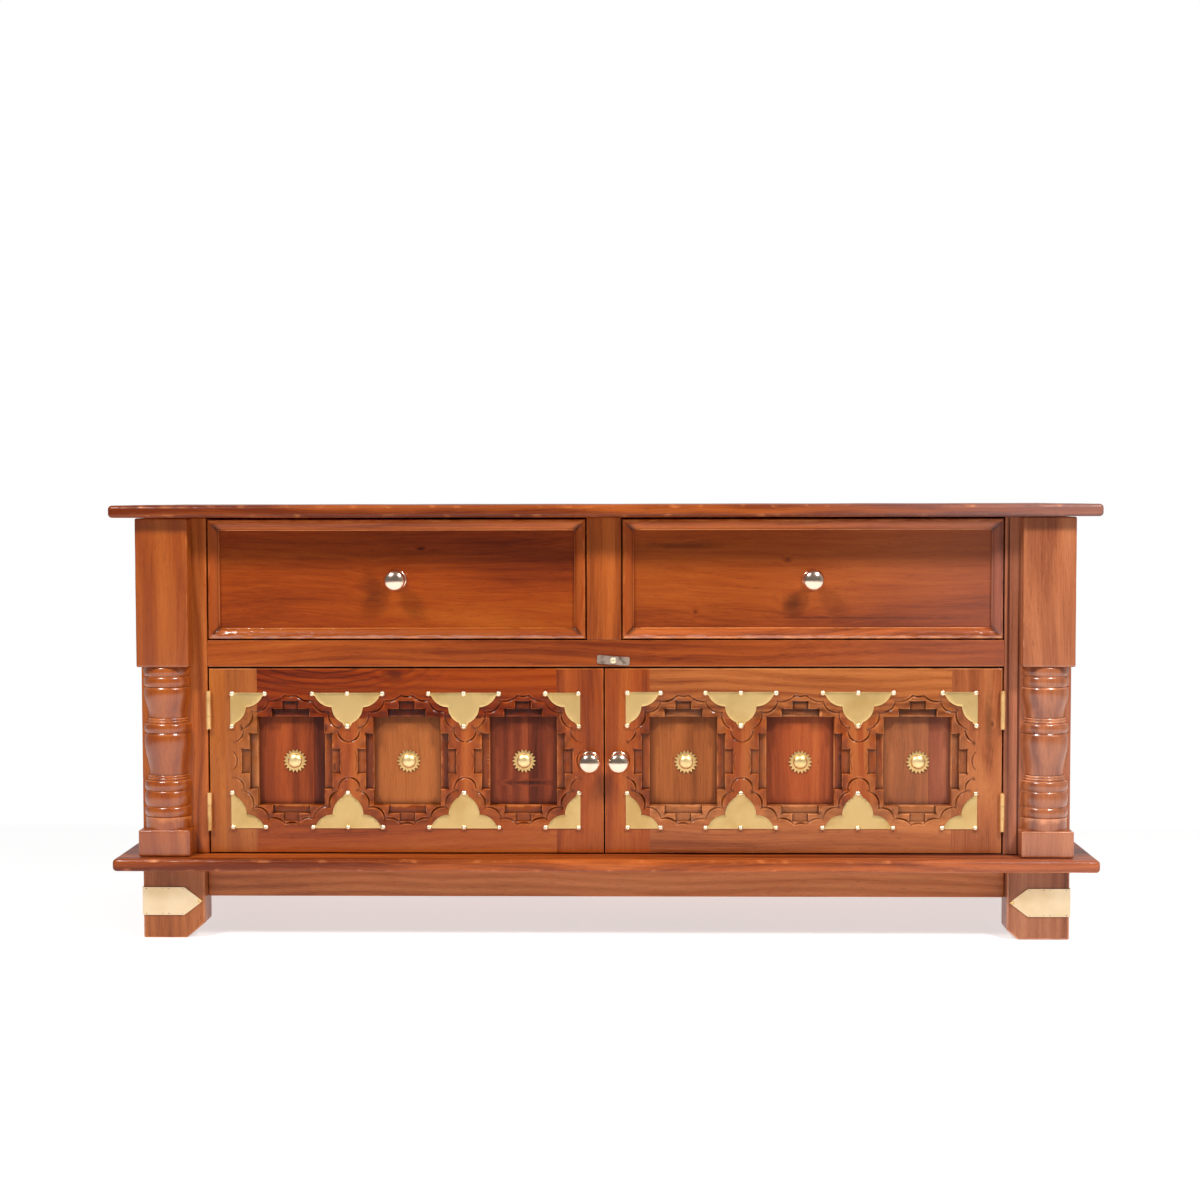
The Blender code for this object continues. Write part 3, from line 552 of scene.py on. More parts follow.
# Paler than the case wood: the apron's own tone, made lighter as painted light from the bright floor below.
APRON_WOOD = WoodFinish(
    "apron_teak", Colour(204, 125, 73), Colour(182, 103, 53), Colour(134, 63, 29), streaks=0.35
)
CARVED_WOOD = WoodFinish(
    "carved_teak", Colour(178, 94, 37), Colour(154, 69, 23), Colour(97, 34, 9), streaks=0.45
)
STRIPED_WOOD = WoodFinish(
    "striped_teak", Colour(202, 130, 94), Colour(178, 108, 74), Colour(92, 44, 26),
    ring_share=0.06, streaks=0.9, streak_rate=170.0, sway=(0.8, 0.006),
)
# Paler than the case wood: the feet's own tone, made lighter as painted light from the bright floor below.
FOOT_WOOD = WoodFinish(
    "foot_teak", Colour(178, 108, 64), Colour(155, 87, 47), Colour(112, 54, 26),
    streaks=0.25, wear=0.4, ring_share=0.05, lines=0.12,
)
POST_WOOD = WoodFinish(
    "post_teak", Colour(172, 88, 26), Colour(148, 66, 12), Colour(104, 40, 8), streaks=0.35
)
# The right post's wood, paler and greyer than the left's: a painted reflection haze on the right side of the
# case.
PAINTED_HAZE_WOOD = WoodFinish(
    "hazy_teak", Colour(200, 126, 84), Colour(174, 100, 60), Colour(126, 62, 34), streaks=0.35
)
RAW_WOOD = WoodFinish(
    "inner_teak", Colour(196, 146, 92), Colour(172, 118, 70), Colour(126, 78, 42),
    streaks=0.25, wear=0.15, gloss=0.0, roughness=(0.55, 0.75),
)
STRIP_WOOD = WoodFinish(
    "strip_teak", Colour(180, 103, 41), Colour(158, 82, 29), Colour(106, 47, 15), Grain.UPRIGHT_FRONT,
    streaks=0.3,
)
FLAME_WOOD = WoodFinish(
    "flame_teak", Colour(152, 63, 10), Colour(127, 43, 5), Colour(76, 18, 3),
    spread=14.0, lines=0.12, gloss=0.14,
    knots=(
        Knot((-0.350, -0.160, 0.3600), (0.130, 0.03, 0.0500), 0.85, 45.0),
        Knot((-0.262, -0.160, 0.3290), (0.020, 0.03, 0.0150), 0.55),
    ),
)
PALE_WOOD = WoodFinish(
    "pale_teak", Colour(188, 112, 58), Colour(165, 90, 41), Colour(116, 50, 18), lean=-0.03, streaks=0.4
)
SHEET_BRASS = MetalFinish(
    "plate_brass", Colour(233, 196, 131), Colour(218, 176, 110), (0.38, 0.48), smudge=45.0, dents=0.25
)
PALE_BRASS = MetalFinish(
    "pale_brass", Colour(246, 221, 183), Colour(234, 204, 160), (0.45, 0.60), smudge=45.0, dents=0.25
)
HINGE_BRASS = MetalFinish(
    "hinge_brass", Colour(250, 204, 138), Colour(214, 158, 94), (0.42, 0.56), smudge=70.0, dents=0.25
)
BOSS_BRASS = MetalFinish(
    "boss_brass", Colour(254, 224, 164), Colour(240, 202, 132), (0.40, 0.48), smudge=80.0, dents=0.06
)
POLISHED_BRASS = MetalFinish(
    "nail_brass", Colour(255, 240, 206), Colour(244, 220, 170), (0.34, 0.44), smudge=80.0, dents=0.04
)
KNOB_METAL = MetalFinish(
    "knob_metal", Colour(250, 220, 196), Colour(240, 206, 178), (0.17, 0.23), smudge=80.0, dents=0.03
)
AGED_STEEL = MetalFinish(
    "button_steel", Colour(196, 172, 154), Colour(104, 78, 66), (0.30, 0.50), smudge=260.0, dents=0.3
)


class Ripple:
    """The slight unevenness that hand tools leave, as a sum of slow waves."""

    def __init__(self, seed: str, wavelength: float) -> None:
        """Draw the waves' directions and phases.

        Args:
            seed: What settles their chance.
            wavelength: About how far apart their crests are.
        """
        chance = random.Random(seed)
        self.waves = []
        for _ in range(7):
            direction = Vector([chance.gauss(0, 1) for _ in range(3)]).normalized()
            length = wavelength * chance.uniform(0.6, 1.7)
            self.waves.append((np.array(direction) * 2 * math.pi / length, chance.uniform(0, 6.28)))

    def at(self, points: np.ndarray) -> np.ndarray:
        """Return a value from 0 to 1 for each row of three coordinates."""
        total = sum(np.sin(points @ wave + phase) for wave, phase in self.waves)
        return np.clip(0.5 + total / len(self.waves), 0.0, 1.0)

    def over(self, points: np.ndarray) -> np.ndarray:
        """Return a value from 0 to 1 for each row of X and Z."""
        return self.at(np.insert(points, 1, 0.0, axis=1))


def round_stops(low: float, high: float, radius: float, spacing: float) -> list[float]:
    """Place cuts along one side of a rounded box: close over its ends, then even.

    Args:
        low: Where the side starts.
        high: Where it ends.
        radius: The radius of its rounded ends.
        spacing: The distance between cuts on the flat.

    Returns:
        The places of the cuts, in order.
    """
    shares = [step / ROUND_CUTS for step in range(ROUND_CUTS, -1, -1)]
    ends = [radius * (1 - math.tan(math.pi / 4 * share)) for share in shares]
    flat = high - low - 2 * radius
    guard = min(GUARD, flat / 4)
    inner = [low + radius + guard, high - radius - guard]
    count = max(1, round((inner[1] - inner[0]) / spacing))
    middle = [inner[0] + (inner[1] - inner[0]) * step / count for step in range(count + 1)]
    return [low + end for end in ends] + middle + [high - end for end in reversed(ends)]


class Draft:
    """A mesh being drawn, whose faces carry the number of their finish."""

    def __init__(self) -> None:
        """Start with nothing drawn."""
        self.shape = bmesh.new()
        # The second mark darkens the colour: stains, and painted shade in recesses, grooves and gaps.
        for mark in ("edge", "stain"):
            self.shape.verts.layers.float.new(mark)

    def mark(self, name: str) -> bmesh.types.BMLayerItem:
        """Return the layer that holds a mark of the points."""
        return self.shape.verts.layers.float[name]

    def face(self, corners: list, finish: int = 0) -> bmesh.types.BMFace:
        """Add a face.

        Args:
            corners: Its points, in order.
            finish: Its finish number.

        Returns:
            The face.
        """
        face = self.shape.faces.new(corners)
        face.material_index = finish
        return face

    def rounded_box(
        self, low: Vector, high: Vector, radius: float, finish: int, spacing: float, ripple: Ripple,
        dent: float,
    ) -> None:
        """Draw a board with rounded arrises.

        Args:
            low: The board's lowest corner.
            high: Its highest corner.
            radius: The radius of its arrises.
            finish: The finish number of its faces.
            spacing: The distance between points on the flat.
            ripple: Unevenness of its faces.
            dent: How deep the unevenness goes.
        """
        radius = min(radius, 0.45 * min(high - low))
        stops = [round_stops(low[axis], high[axis], radius, spacing) for axis in range(3)]
        core_low = low + Vector((radius,) * 3)
        core_high = high - Vector((radius,) * 3)
        made: dict[tuple, bmesh.types.BMVert] = {}

        def corner(place: list[float]) -> bmesh.types.BMVert:
            """Round a point of the box.

            Args:
                place: The point.

            Returns:
                The point of the rounded surface under it.
            """
            key = tuple(round(part * 1e7) for part in place)
            if key not in made:
                core = Vector([
                    min(max(part, least), most) for part, least, most in zip(place, core_low, core_high)
                ])
                out = (Vector(place) - core).normalized()
                sunk = dent * float(ripple.at(np.array([core]))[0])
                made[key] = self.shape.verts.new(core + out * (radius - sunk))
            return made[key]

        for axis in range(3):
            across, along = (axis + 1) % 3, (axis + 2) % 3
            for level, order in ((low[axis], -1), (high[axis], 1)):
                for left, right in zip(stops[across], stops[across][1:]):
                    for near, far in zip(stops[along], stops[along][1:]):
                        quad = []
                        for one, two in ((left, near), (right, near), (right, far), (left, far)):
                            place = [0.0, 0.0, 0.0]
                            place[axis], place[across], place[along] = level, one, two
                            quad.append(corner(place))
                        self.face(quad[::order], finish)

    def prism(self, outline: list[Flat], low: float, high: float, axes: str, radius: float) -> None:
        """Draw a straight length of an outline with eased arrises.

        Args:
            outline: The outline's corners.
            low: Where the length starts.
            high: Where it ends.
            axes: The axes of the outline and then of its length, such as "xzy".
            radius: How far the arrises are eased.
        """
        order = ["xyz".index(axis) for axis in axes]
        rings = []
        for level in (low, high):
            ring = []
            for point in outline:
                place = Vector()
                for axis, part in zip(order, (*point, level)):
                    place[axis] = part
                ring.append(self.shape.verts.new(place))
            rings.append(ring)
        near, far = rings
        faces = [self.face(near), self.face(far[::-1])]
        for index in range(len(outline)):
            after = (index + 1) % len(outline)
            faces.append(self.face([near[after], near[index], far[index], far[after]]))
        edges = list({edge for face in faces for edge in face.edges})
        bmesh.ops.bevel(self.shape, geom=edges, offset=radius, segments=3, profile=0.5, affect="EDGES")
        flats = [face for face in self.shape.faces if face.calc_area() > LEAST_FLAT]
        bmesh.ops.inset_individual(self.shape, faces=flats, thickness=GUARD)
        ends = [sorted({point[number] for point in outline}) for number in (0, 1)] + [[low, high]]
        for point in self.shape.verts:
            for axis, (least, *_, most) in zip(order, ends):
                point.co[axis] = min(max(point.co[axis], least), most)

    def spun(self, profile: list[Flat], place: Matrix, steps: int, finish: int = 0) -> None:
        """Draw a turned piece.

        Args:
            profile: Radius and height of its half profile, from its top down.
            place: Where its axis stands; the axis is the matrix's Z.
            steps: Facets round the axis.
            finish: The finish number of its faces.
        """
        rings = []
        for radius, height in profile:
            count = steps if radius > 1e-7 else 1
            angles = [2 * math.pi * step / steps for step in range(count)]
            rings.append([
                self.shape.verts.new(place @ Vector((radius * math.cos(a), radius * math.sin(a), height)))
                for a in angles
            ])
        self.join(rings, finish)

    def join(self, rings: list[list], finish: int) -> None:
        """Draw the surface between rings of points, each to the next.

        Args:
            rings: The rings, of which one may be a single point.
            finish: The finish number of its faces.
        """
        for ring, after in zip(rings, rings[1:]):
            for step in range(max(len(ring), len(after))):
                corners = [ring[step % len(ring)], after[step % len(after)]]
                corners += [after[(step + 1) % len(after)], ring[(step + 1) % len(ring)]]
                self.face(list(dict.fromkeys(corners)), finish)

    def sheet(self, front: list[list], back: list[list]) -> None:
        """Draw a bent sheet.

        Args:
            front: Rows of points over its front.
            back: The same rows over its back.
        """
        for rows in (front, back):
            for row, after in zip(rows, rows[1:]):
                for step in range(len(row) - 1):
                    self.face([row[step], row[step + 1], after[step + 1], after[step]])
        for end in (0, -1):
            sides = [(front[end], back[end])]
            sides.append(([row[end] for row in front], [row[end] for row in back]))
            for upper, lower in sides:
                for step in range(len(upper) - 1):
                    self.face([upper[step], upper[step + 1], lower[step + 1], lower[step]])

    def wall(self, edges: list, level: float) -> list[bmesh.types.BMEdge]:
        """Raise a wall from edges to a level of Y.

        Args:
            edges: The edges where it starts.
            level: Where it ends.

        Returns:
            The edges of its end.
        """
        grown = bmesh.ops.extrude_edge_only(self.shape, edges=edges)["geom"]
        for part in grown:
            if isinstance(part, bmesh.types.BMVert):
                part.co.y = level
        return [part for part in grown if isinstance(part, bmesh.types.BMEdge)]

    def fill(self, edges: list) -> list:
        """Close the space between edges that lie in a plane of Y, and return what closes it."""
        normal = (0.0, 1.0, 0.0)
        return bmesh.ops.triangle_fill(self.shape, edges=edges, normal=normal, use_beauty=True)["geom"]

    def mark_edges(self) -> None:
        """Mark each point with how sharp an arris, or a corner, it stands on."""
        layer = self.mark("edge")
        slack, full = math.radians(7), math.radians(24)
        for point in self.shape.verts:
            sharpest = 0.0
            for edge in point.link_edges:
                angle = edge.calc_face_angle_signed(0.0)
                if abs(angle) > abs(sharpest):
                    sharpest = angle
            mark = max(0.0, abs(sharpest) - slack) / (full - slack)
            point[layer] = math.copysign(min(1.0, mark), sharpest)

    def piece(
        self, name: str, finishes: list[bpy.types.Material], body: str, slot: Slot,
        nodes: tuple[str, ...] = (), sharp: float = 38.0,
    ) -> None:
        """Turn the drawing into a piece of the model.

        Args:
            name: The piece's name.
            finishes: Its materials, by finish number.
            body: The body that it rides on.
            slot: The record's slot for its finish; not used.
            nodes: The CAD nodes that it stands for.
            sharp: The angle in degrees past which an edge looks crisp.
        """
        bmesh.ops.recalc_face_normals(self.shape, faces=self.shape.faces)
        self.mark_edges()
        mesh = bpy.data.meshes.new(name)
        self.shape.to_mesh(mesh)
        self.shape.free()
        for finish in finishes:
            mesh.materials.append(finish)
        mesh.shade_smooth()
        mesh.set_sharp_from_angle(angle=math.radians(sharp))
        show(name, mesh, body, slot, nodes)


def show(name: str, mesh: bpy.types.Mesh, body: str, slot: Slot, nodes: tuple[str, ...] = ()) -> None:
    """Put a mesh in the scene as a piece.

    Args:
        name: The piece's name.
        mesh: Its mesh, drawn in place.
        body: The body that it rides on.
        slot: The record's slot for its finish; not used.
        nodes: The CAD nodes that it stands for.
    """
    piece = bpy.data.objects.new(name, mesh)
    bpy.context.scene.collection.objects.link(piece)
    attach(piece, body)
    if nodes:
        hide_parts(*nodes)
    LOG.info("%s on %s: %d faces", name, body, len(mesh.polygons))


def body_of(node: str) -> str:
    """Return the body that a CAD node belongs to."""
    return frame["nodes"][node]["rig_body"]


def arc_points(centre: Flat, radii: Flat, start: float, end: float, steps: int) -> list[Flat]:
    """Return points along an elliptical arc, its angles in degrees."""
    angles = [math.radians(start + (end - start) * step / steps) for step in range(steps + 1)]
    return [(centre[0] + radii[0] * math.cos(a), centre[1] + radii[1] * math.sin(a)) for a in angles]


@dataclass(frozen=True)
class Arc:
    """A gouge stroke in the plane of a door: part of a circle."""

    centre: Flat
    radius: float
    start: float
    sweep: float
    cut: float = 1.0
    spacing: float = 1.7 * MM

    @classmethod
    def bulging(cls, first: Flat, last: Flat, sag: float, towards: Flat, cut: float = 1.0) -> "Arc":
        """Draw an arc over a chord.

        Args:
            first: One end of the chord.
            last: Its other end.
            sag: How far the arc stands off the chord.
            towards: A point on the side that it bulges to.
            cut: The share of the full depth that the gouge went in.

        Returns:
            The arc.
        """
        a, b, goal = Vector(first), Vector(last), Vector(towards)
        chord = b - a
        half = chord.length / 2
        radius = (half * half + sag * sag) / (2 * sag)
        normal = Vector((-chord.y, chord.x)).normalized()
        if normal.dot(goal - (a + b) / 2) < 0:
            normal = -normal
        centre = (a + b) / 2 - normal * (radius - sag)
        start = math.atan2(a.y - centre.y, a.x - centre.x)
        end = math.atan2(b.y - centre.y, b.x - centre.x)
        sweep = (end - start + math.pi) % (2 * math.pi) - math.pi
        return cls((centre.x, centre.y), radius, start, sweep, cut)

    def points(self, offset: float = 0.0) -> list[Flat]:
        """Follow the arc.

        Args:
            offset: How far outside the arc to stay.

        Returns:
            Points from its start to its end.
        """
        steps = max(4, round(abs(self.sweep) * self.radius / self.spacing))
        radius = self.radius + offset
        angles = [self.start + self.sweep * step / steps for step in range(steps + 1)]
        return [
            (self.centre[0] + radius * math.cos(a), self.centre[1] + radius * math.sin(a)) for a in angles
        ]

    def reach(self, points: np.ndarray) -> tuple[np.ndarray, np.ndarray]:
        """Measure points from the arc.

        Args:
            points: Rows of X and Z.

        Returns:
            The signed distance, positive outside the circle, and the share along the arc.
        """
        across, up = (points - self.centre).T
        away = np.hypot(across, up) - self.radius
        turned = np.arctan2(up, across) - (self.start + self.sweep / 2)
        turned = (turned + math.pi) % (2 * math.pi) - math.pi
        share = turned / abs(self.sweep) + 0.5
        past = np.maximum(0.0, np.abs(turned) - abs(self.sweep) / 2) * self.radius
        return np.sign(away) * np.hypot(away, past), np.clip(share, 0.0, 1.0)


class Relief:
    """A flat region cut into triangles along the lines of a carving."""

    def __init__(self) -> None:
        """Start with no points."""
        self.points: list[Flat] = []
        self.lines: list[tuple[int, int]] = []

    def line(self, points: list[Flat], closed: bool = False) -> None:
        """Add a line that the triangles keep to.

        Args:
            points: The points along it.
            closed: Whether it comes back to its start.
        """
        first, count = len(self.points), len(points)
        self.points += points
        steps = range(count if closed else count - 1)
        self.lines += [(first + step, first + (step + 1) % count) for step in steps]

    def triangles(self, inside: bool) -> tuple[np.ndarray, list]:
        """Return points and triangles that fill the region, or only what lies inside the lines."""
        made = delaunay_2d_cdt(list(map(Vector, self.points)), self.lines, [], int(inside), 1e-6)
        return np.array([tuple(point) for point in made[0]]), made[2]


def along(first: Flat, last: Flat, spacing: float) -> list[Flat]:
    """Return points on the way from one place to another, without the last."""
    count = max(1, round(math.dist(first, last) / spacing))
    return [tuple(a + (b - a) * step / count for a, b in zip(first, last)) for step in range(count)]


def loop_along(corners: list[Flat], spacing: float) -> list[Flat]:
    """Return points all round a closed outline."""
    sides = zip(corners, corners[1:] + corners[:1])
    return [point for first, last in sides for point in along(first, last, spacing)]


def rectangle(low: Flat, high: Flat) -> list[Flat]:
    """Return the corners of a rectangle in order, from its lowest corner and its highest."""
    return [low, (high[0], low[1]), high, (low[0], high[1])]


class NailTree(Wiring):
    """Geometry nodes that set a domed brass head on every point of a mesh."""

    size_spread = 0.07

    def __init__(self) -> None:
        """Wire the tree."""
        super().__init__(bpy.data.node_groups.new("domed_nails", "GeometryNodeTree"))
        faces = self.tree.interface
        faces.new_socket("Geometry", in_out="OUTPUT", socket_type="NodeSocketGeometry")
        faces.new_socket("Points", in_out="INPUT", socket_type="NodeSocketGeometry")
        for name in ("Head Radius", "Head Height", "Size Spread"):
            faces.new_socket(name, in_out="INPUT", socket_type="NodeSocketFloat")
        faces.new_socket("Metal", in_out="INPUT", socket_type="NodeSocketMaterial")
        given = self.add("NodeGroupInput", {}).outputs
        ball = self.add("GeometryNodeMeshUVSphere", {"Segments": 14, "Rings": 8, "Radius": given[1]})
        flatness = self.reckon("DIVIDE", given[2], given[1])
        least = self.reckon("SUBTRACT", 1.0, given[3])
        most = self.reckon("ADD", 1.0, given[3])
        size = self.add("FunctionNodeRandomValue", {2: least, 3: most, 8: 7})
        dome = self.add("ShaderNodeCombineXYZ", {0: 1.0, 1: flatness, 2: 1.0})
        scale = self.add(
            "ShaderNodeVectorMath", {0: dome.outputs[0], "Scale": size.outputs[1]}, operation="SCALE"
        )
        heads = self.add(
            "GeometryNodeInstanceOnPoints",
            {"Points": given[0], "Instance": ball.outputs["Mesh"], "Scale": scale.outputs[0]},
        )
        real = self.add("GeometryNodeRealizeInstances", {0: heads.outputs[0]})
        smooth = self.add("GeometryNodeSetShadeSmooth", {"Geometry": real.outputs[0]})
        metal = self.add("GeometryNodeSetMaterial", {"Geometry": smooth.outputs[0], "Material": given[4]})
        self.add("NodeGroupOutput", {0: metal.outputs[0]})

    def drive(
        self, name: str, places: list[Vector], size: Flat, metal: MetalFinish, body: str, slot: Slot
    ) -> None:
        """Make one body's nails.

        Args:
            name: The piece's name.
            places: Where the heads sit.
            size: The heads' radius and height.
            metal: Their finish.
            body: The body that they ride on.
            slot: The record's slot for their finish; not used.
        """
        seed = bpy.data.meshes.new(f"{name}_places")
        seed.from_pydata([tuple(place) for place in places], [], [])
        carrier = bpy.data.objects.new(f"{name}_carrier", seed)
        bpy.context.scene.collection.objects.link(carrier)
        modifier = carrier.modifiers.new("domed_nails", "NODES")
        modifier.node_group = self.tree
        values = {"Head Radius": size[0], "Head Height": size[1]}
        values |= {"Size Spread": self.size_spread, "Metal": metal.material()}
        for item in self.tree.interface.items_tree:
            if item.name in values:
                modifier[item.identifier] = values[item.name]
        evaluated = carrier.evaluated_get(bpy.context.evaluated_depsgraph_get())
        mesh = bpy.data.meshes.new_from_object(evaluated)
        mesh.name = name
        bpy.data.objects.remove(carrier)
        show(name, mesh, body, slot)


@dataclass
class Board:
    """A plain board of the case or of a drawer."""

    node: str
    finish: WoodFinish
    slot: Slot
    round: float = 1.0 * MM
    dent: float = 0.12 * MM
    spacing: float = 30 * MM
    wavelength: float = 90 * MM

    def build(self) -> None:
        """Draw the board where its CAD node is."""
        low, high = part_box(self.node)
        draft = Draft()
        ripple = Ripple(self.node, self.wavelength)
        draft.rounded_box(low, high, self.round, 0, self.spacing, ripple, self.dent)
        material = self.finish.material(self.node, (low + high) / 2)
        draft.piece(f"{self.node}_finished", [material], body_of(self.node), self.slot, (self.node,))


@dataclass
class Case:
    """The carcass boards, the drawer rail and the feet."""

    top_round: float = 5.2 * MM
    foot_round: float = 1.5 * MM
    rail_round: float = 0.5 * MM
    stop_front: float = 0.0223
    stop_back: float = 0.0343
    stop_drop: float = 0.008
    rail_trim: float = 1.2 * MM
    shelf_thick: float = 0.0143
    stile_thick: float = 0.020
    # How dark the stop lip behind the doors is painted: painted shade in the gap over the doors.
    hidden_stain: float = 0.9
    chamfers: tuple[Flat, Flat] = ((0.023, 0.019), (0.014, 0.012))

    def build(self) -> None:
        """Draw every board of the case."""
        upright = replace(FOOT_WOOD, grain=Grain.UPRIGHT_SIDE)
        # The top's arrises rub pale at wear 0.9: worn lacquer, and also a painted highlight along its front
        # arris.
        wide = replace(
            CASE_WOOD, light=Colour(188, 102, 45), middle=Colour(164, 80, 30),
            plank=0.105, wear=0.9, chatter=0.6 * MM, streaks=0.45, bloom=0.32,
        )
        base = replace(
            wide, light=Colour(200, 110, 50), middle=Colour(176, 86, 34), wear=0.7, bloom=0.12
        )
        side = replace(CASE_WOOD, grain=Grain.UPRIGHT_SIDE, plank=0.115)
        back = replace(RAW_WOOD, grain=Grain.UPRIGHT_FRONT, plank=0.140)
        striped = replace(
            STRIPED_WOOD, grain=Grain.UPRIGHT_FRONT, light=Colour(194, 124, 92), middle=Colour(170, 102, 72),
            streaks=1.5, streak_rate=200.0,
        )
        # The right feet's stripes, paler and greyer: a painted reflection haze on the right side of the case.
        painted_haze_stripes = replace(
            STRIPED_WOOD, grain=Grain.UPRIGHT_SIDE, light=Colour(176, 114, 82), middle=Colour(150, 90, 62),
            streaks=0.3, streak_rate=90.0,
        )
        stile = replace(
            CASE_WOOD, grain=Grain.UPRIGHT_FRONT, light=Colour(192, 106, 48), middle=Colour(168, 84, 32)
        )
        boards = [
            Board("top_board", wide, Slot.CASE, self.top_round, 0.35 * MM, 16 * MM),
            Board("base_board", base, Slot.CASE, self.top_round, 0.35 * MM, 16 * MM),
            Board("left_front_stile", stile, Slot.CASE),
            Board("right_front_stile", striped, Slot.CASE),
            Board("left_side_board", side, Slot.CASE, 1.4 * MM),
            Board("right_side_board", side, Slot.CASE, 1.4 * MM),
            Board("back_panel", back, Slot.INNER, 0.5 * MM),
            Board("centre_stile", stile, Slot.CASE),
            Board("drawer_shelf", replace(RAW_WOOD, plank=0.12), Slot.INNER),
            Board("front_apron", APRON_WOOD, Slot.RED, 1.2 * MM),
            Board("left_apron", replace(APRON_WOOD, grain=Grain.DEPTHWISE), Slot.RED, 1.2 * MM),
            Board("right_apron", replace(APRON_WOOD, grain=Grain.DEPTHWISE), Slot.RED, 1.2 * MM),
        ]
        guide = replace(RAW_WOOD, grain=Grain.DEPTHWISE)
        boards += [Board(f"{place}_drawer_guide", guide, Slot.INNER) for place in ("left", "centre", "right")]
        for board in boards:
            board.build()
        self.build_rail()
        for side_of in Side:
            for row in ("front", "rear"):
                self.build_foot(side_of, row, upright if side_of is Side.LEFT else painted_haze_stripes)

    def build_rail(self) -> None:
        """Draw the rail over the doors with the stop lip behind them."""
        low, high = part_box("drawer_rail")
        face = low.y
        bottom = low.z + self.stop_drop + self.rail_trim
        ledge = high.z - self.shelf_thick
        outline = [
            (face, bottom), (face + self.stop_front, bottom),
            (face + self.stop_front, low.z), (face + self.stop_back, low.z),
            (face + self.stop_back, ledge), (face + self.stile_thick, ledge),
            (face + self.stile_thick, high.z), (face, high.z),
        ]
        draft = Draft()
        draft.prism(outline, low.x, high.x, "yzx", self.rail_round)
        # Darken the stop lip behind the rail's face: painted shade in the gap over the doors.
        stain = draft.mark("stain")
        for point in draft.shape.verts:
            if point.co.y > face + self.stile_thick:
                point[stain] = self.hidden_stain
        wood = replace(
            RED_WOOD, light=Colour(178, 94, 34), middle=Colour(150, 67, 20), wear=0.2, bloom=0.13
        )
        material = wood.material("drawer_rail", (low + high) / 2)
        draft.piece("drawer_rail_finished", [material], "carcass", Slot.RED, ("drawer_rail",))

    def build_foot(self, side: Side, row: str, finish: WoodFinish) -> None:
        """Draw one bracket foot.

        Args:
            side: Which side it stands on.
            row: Front or rear.
            finish: Its wood.
        """
        node = f"{side.word}_{row}_foot"
        low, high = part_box(node)
        wide, tall = self.chamfers[0 if side is Side.LEFT else 1]
        outer, inner = (low.x, high.x) if side is Side.LEFT else (high.x, low.x)
        outline = [
            (outer, low.z), (inner + side.value * wide, low.z), (inner, low.z + tall),
            (inner, high.z), (outer, high.z),
        ]
        draft = Draft()
        draft.prism(outline, low.y, high.y, "xzy", self.foot_round)
        material = finish.material(node, (low + high) / 2)
        draft.piece(f"{node}_finished", [material], "carcass", Slot.CASE, (node,))


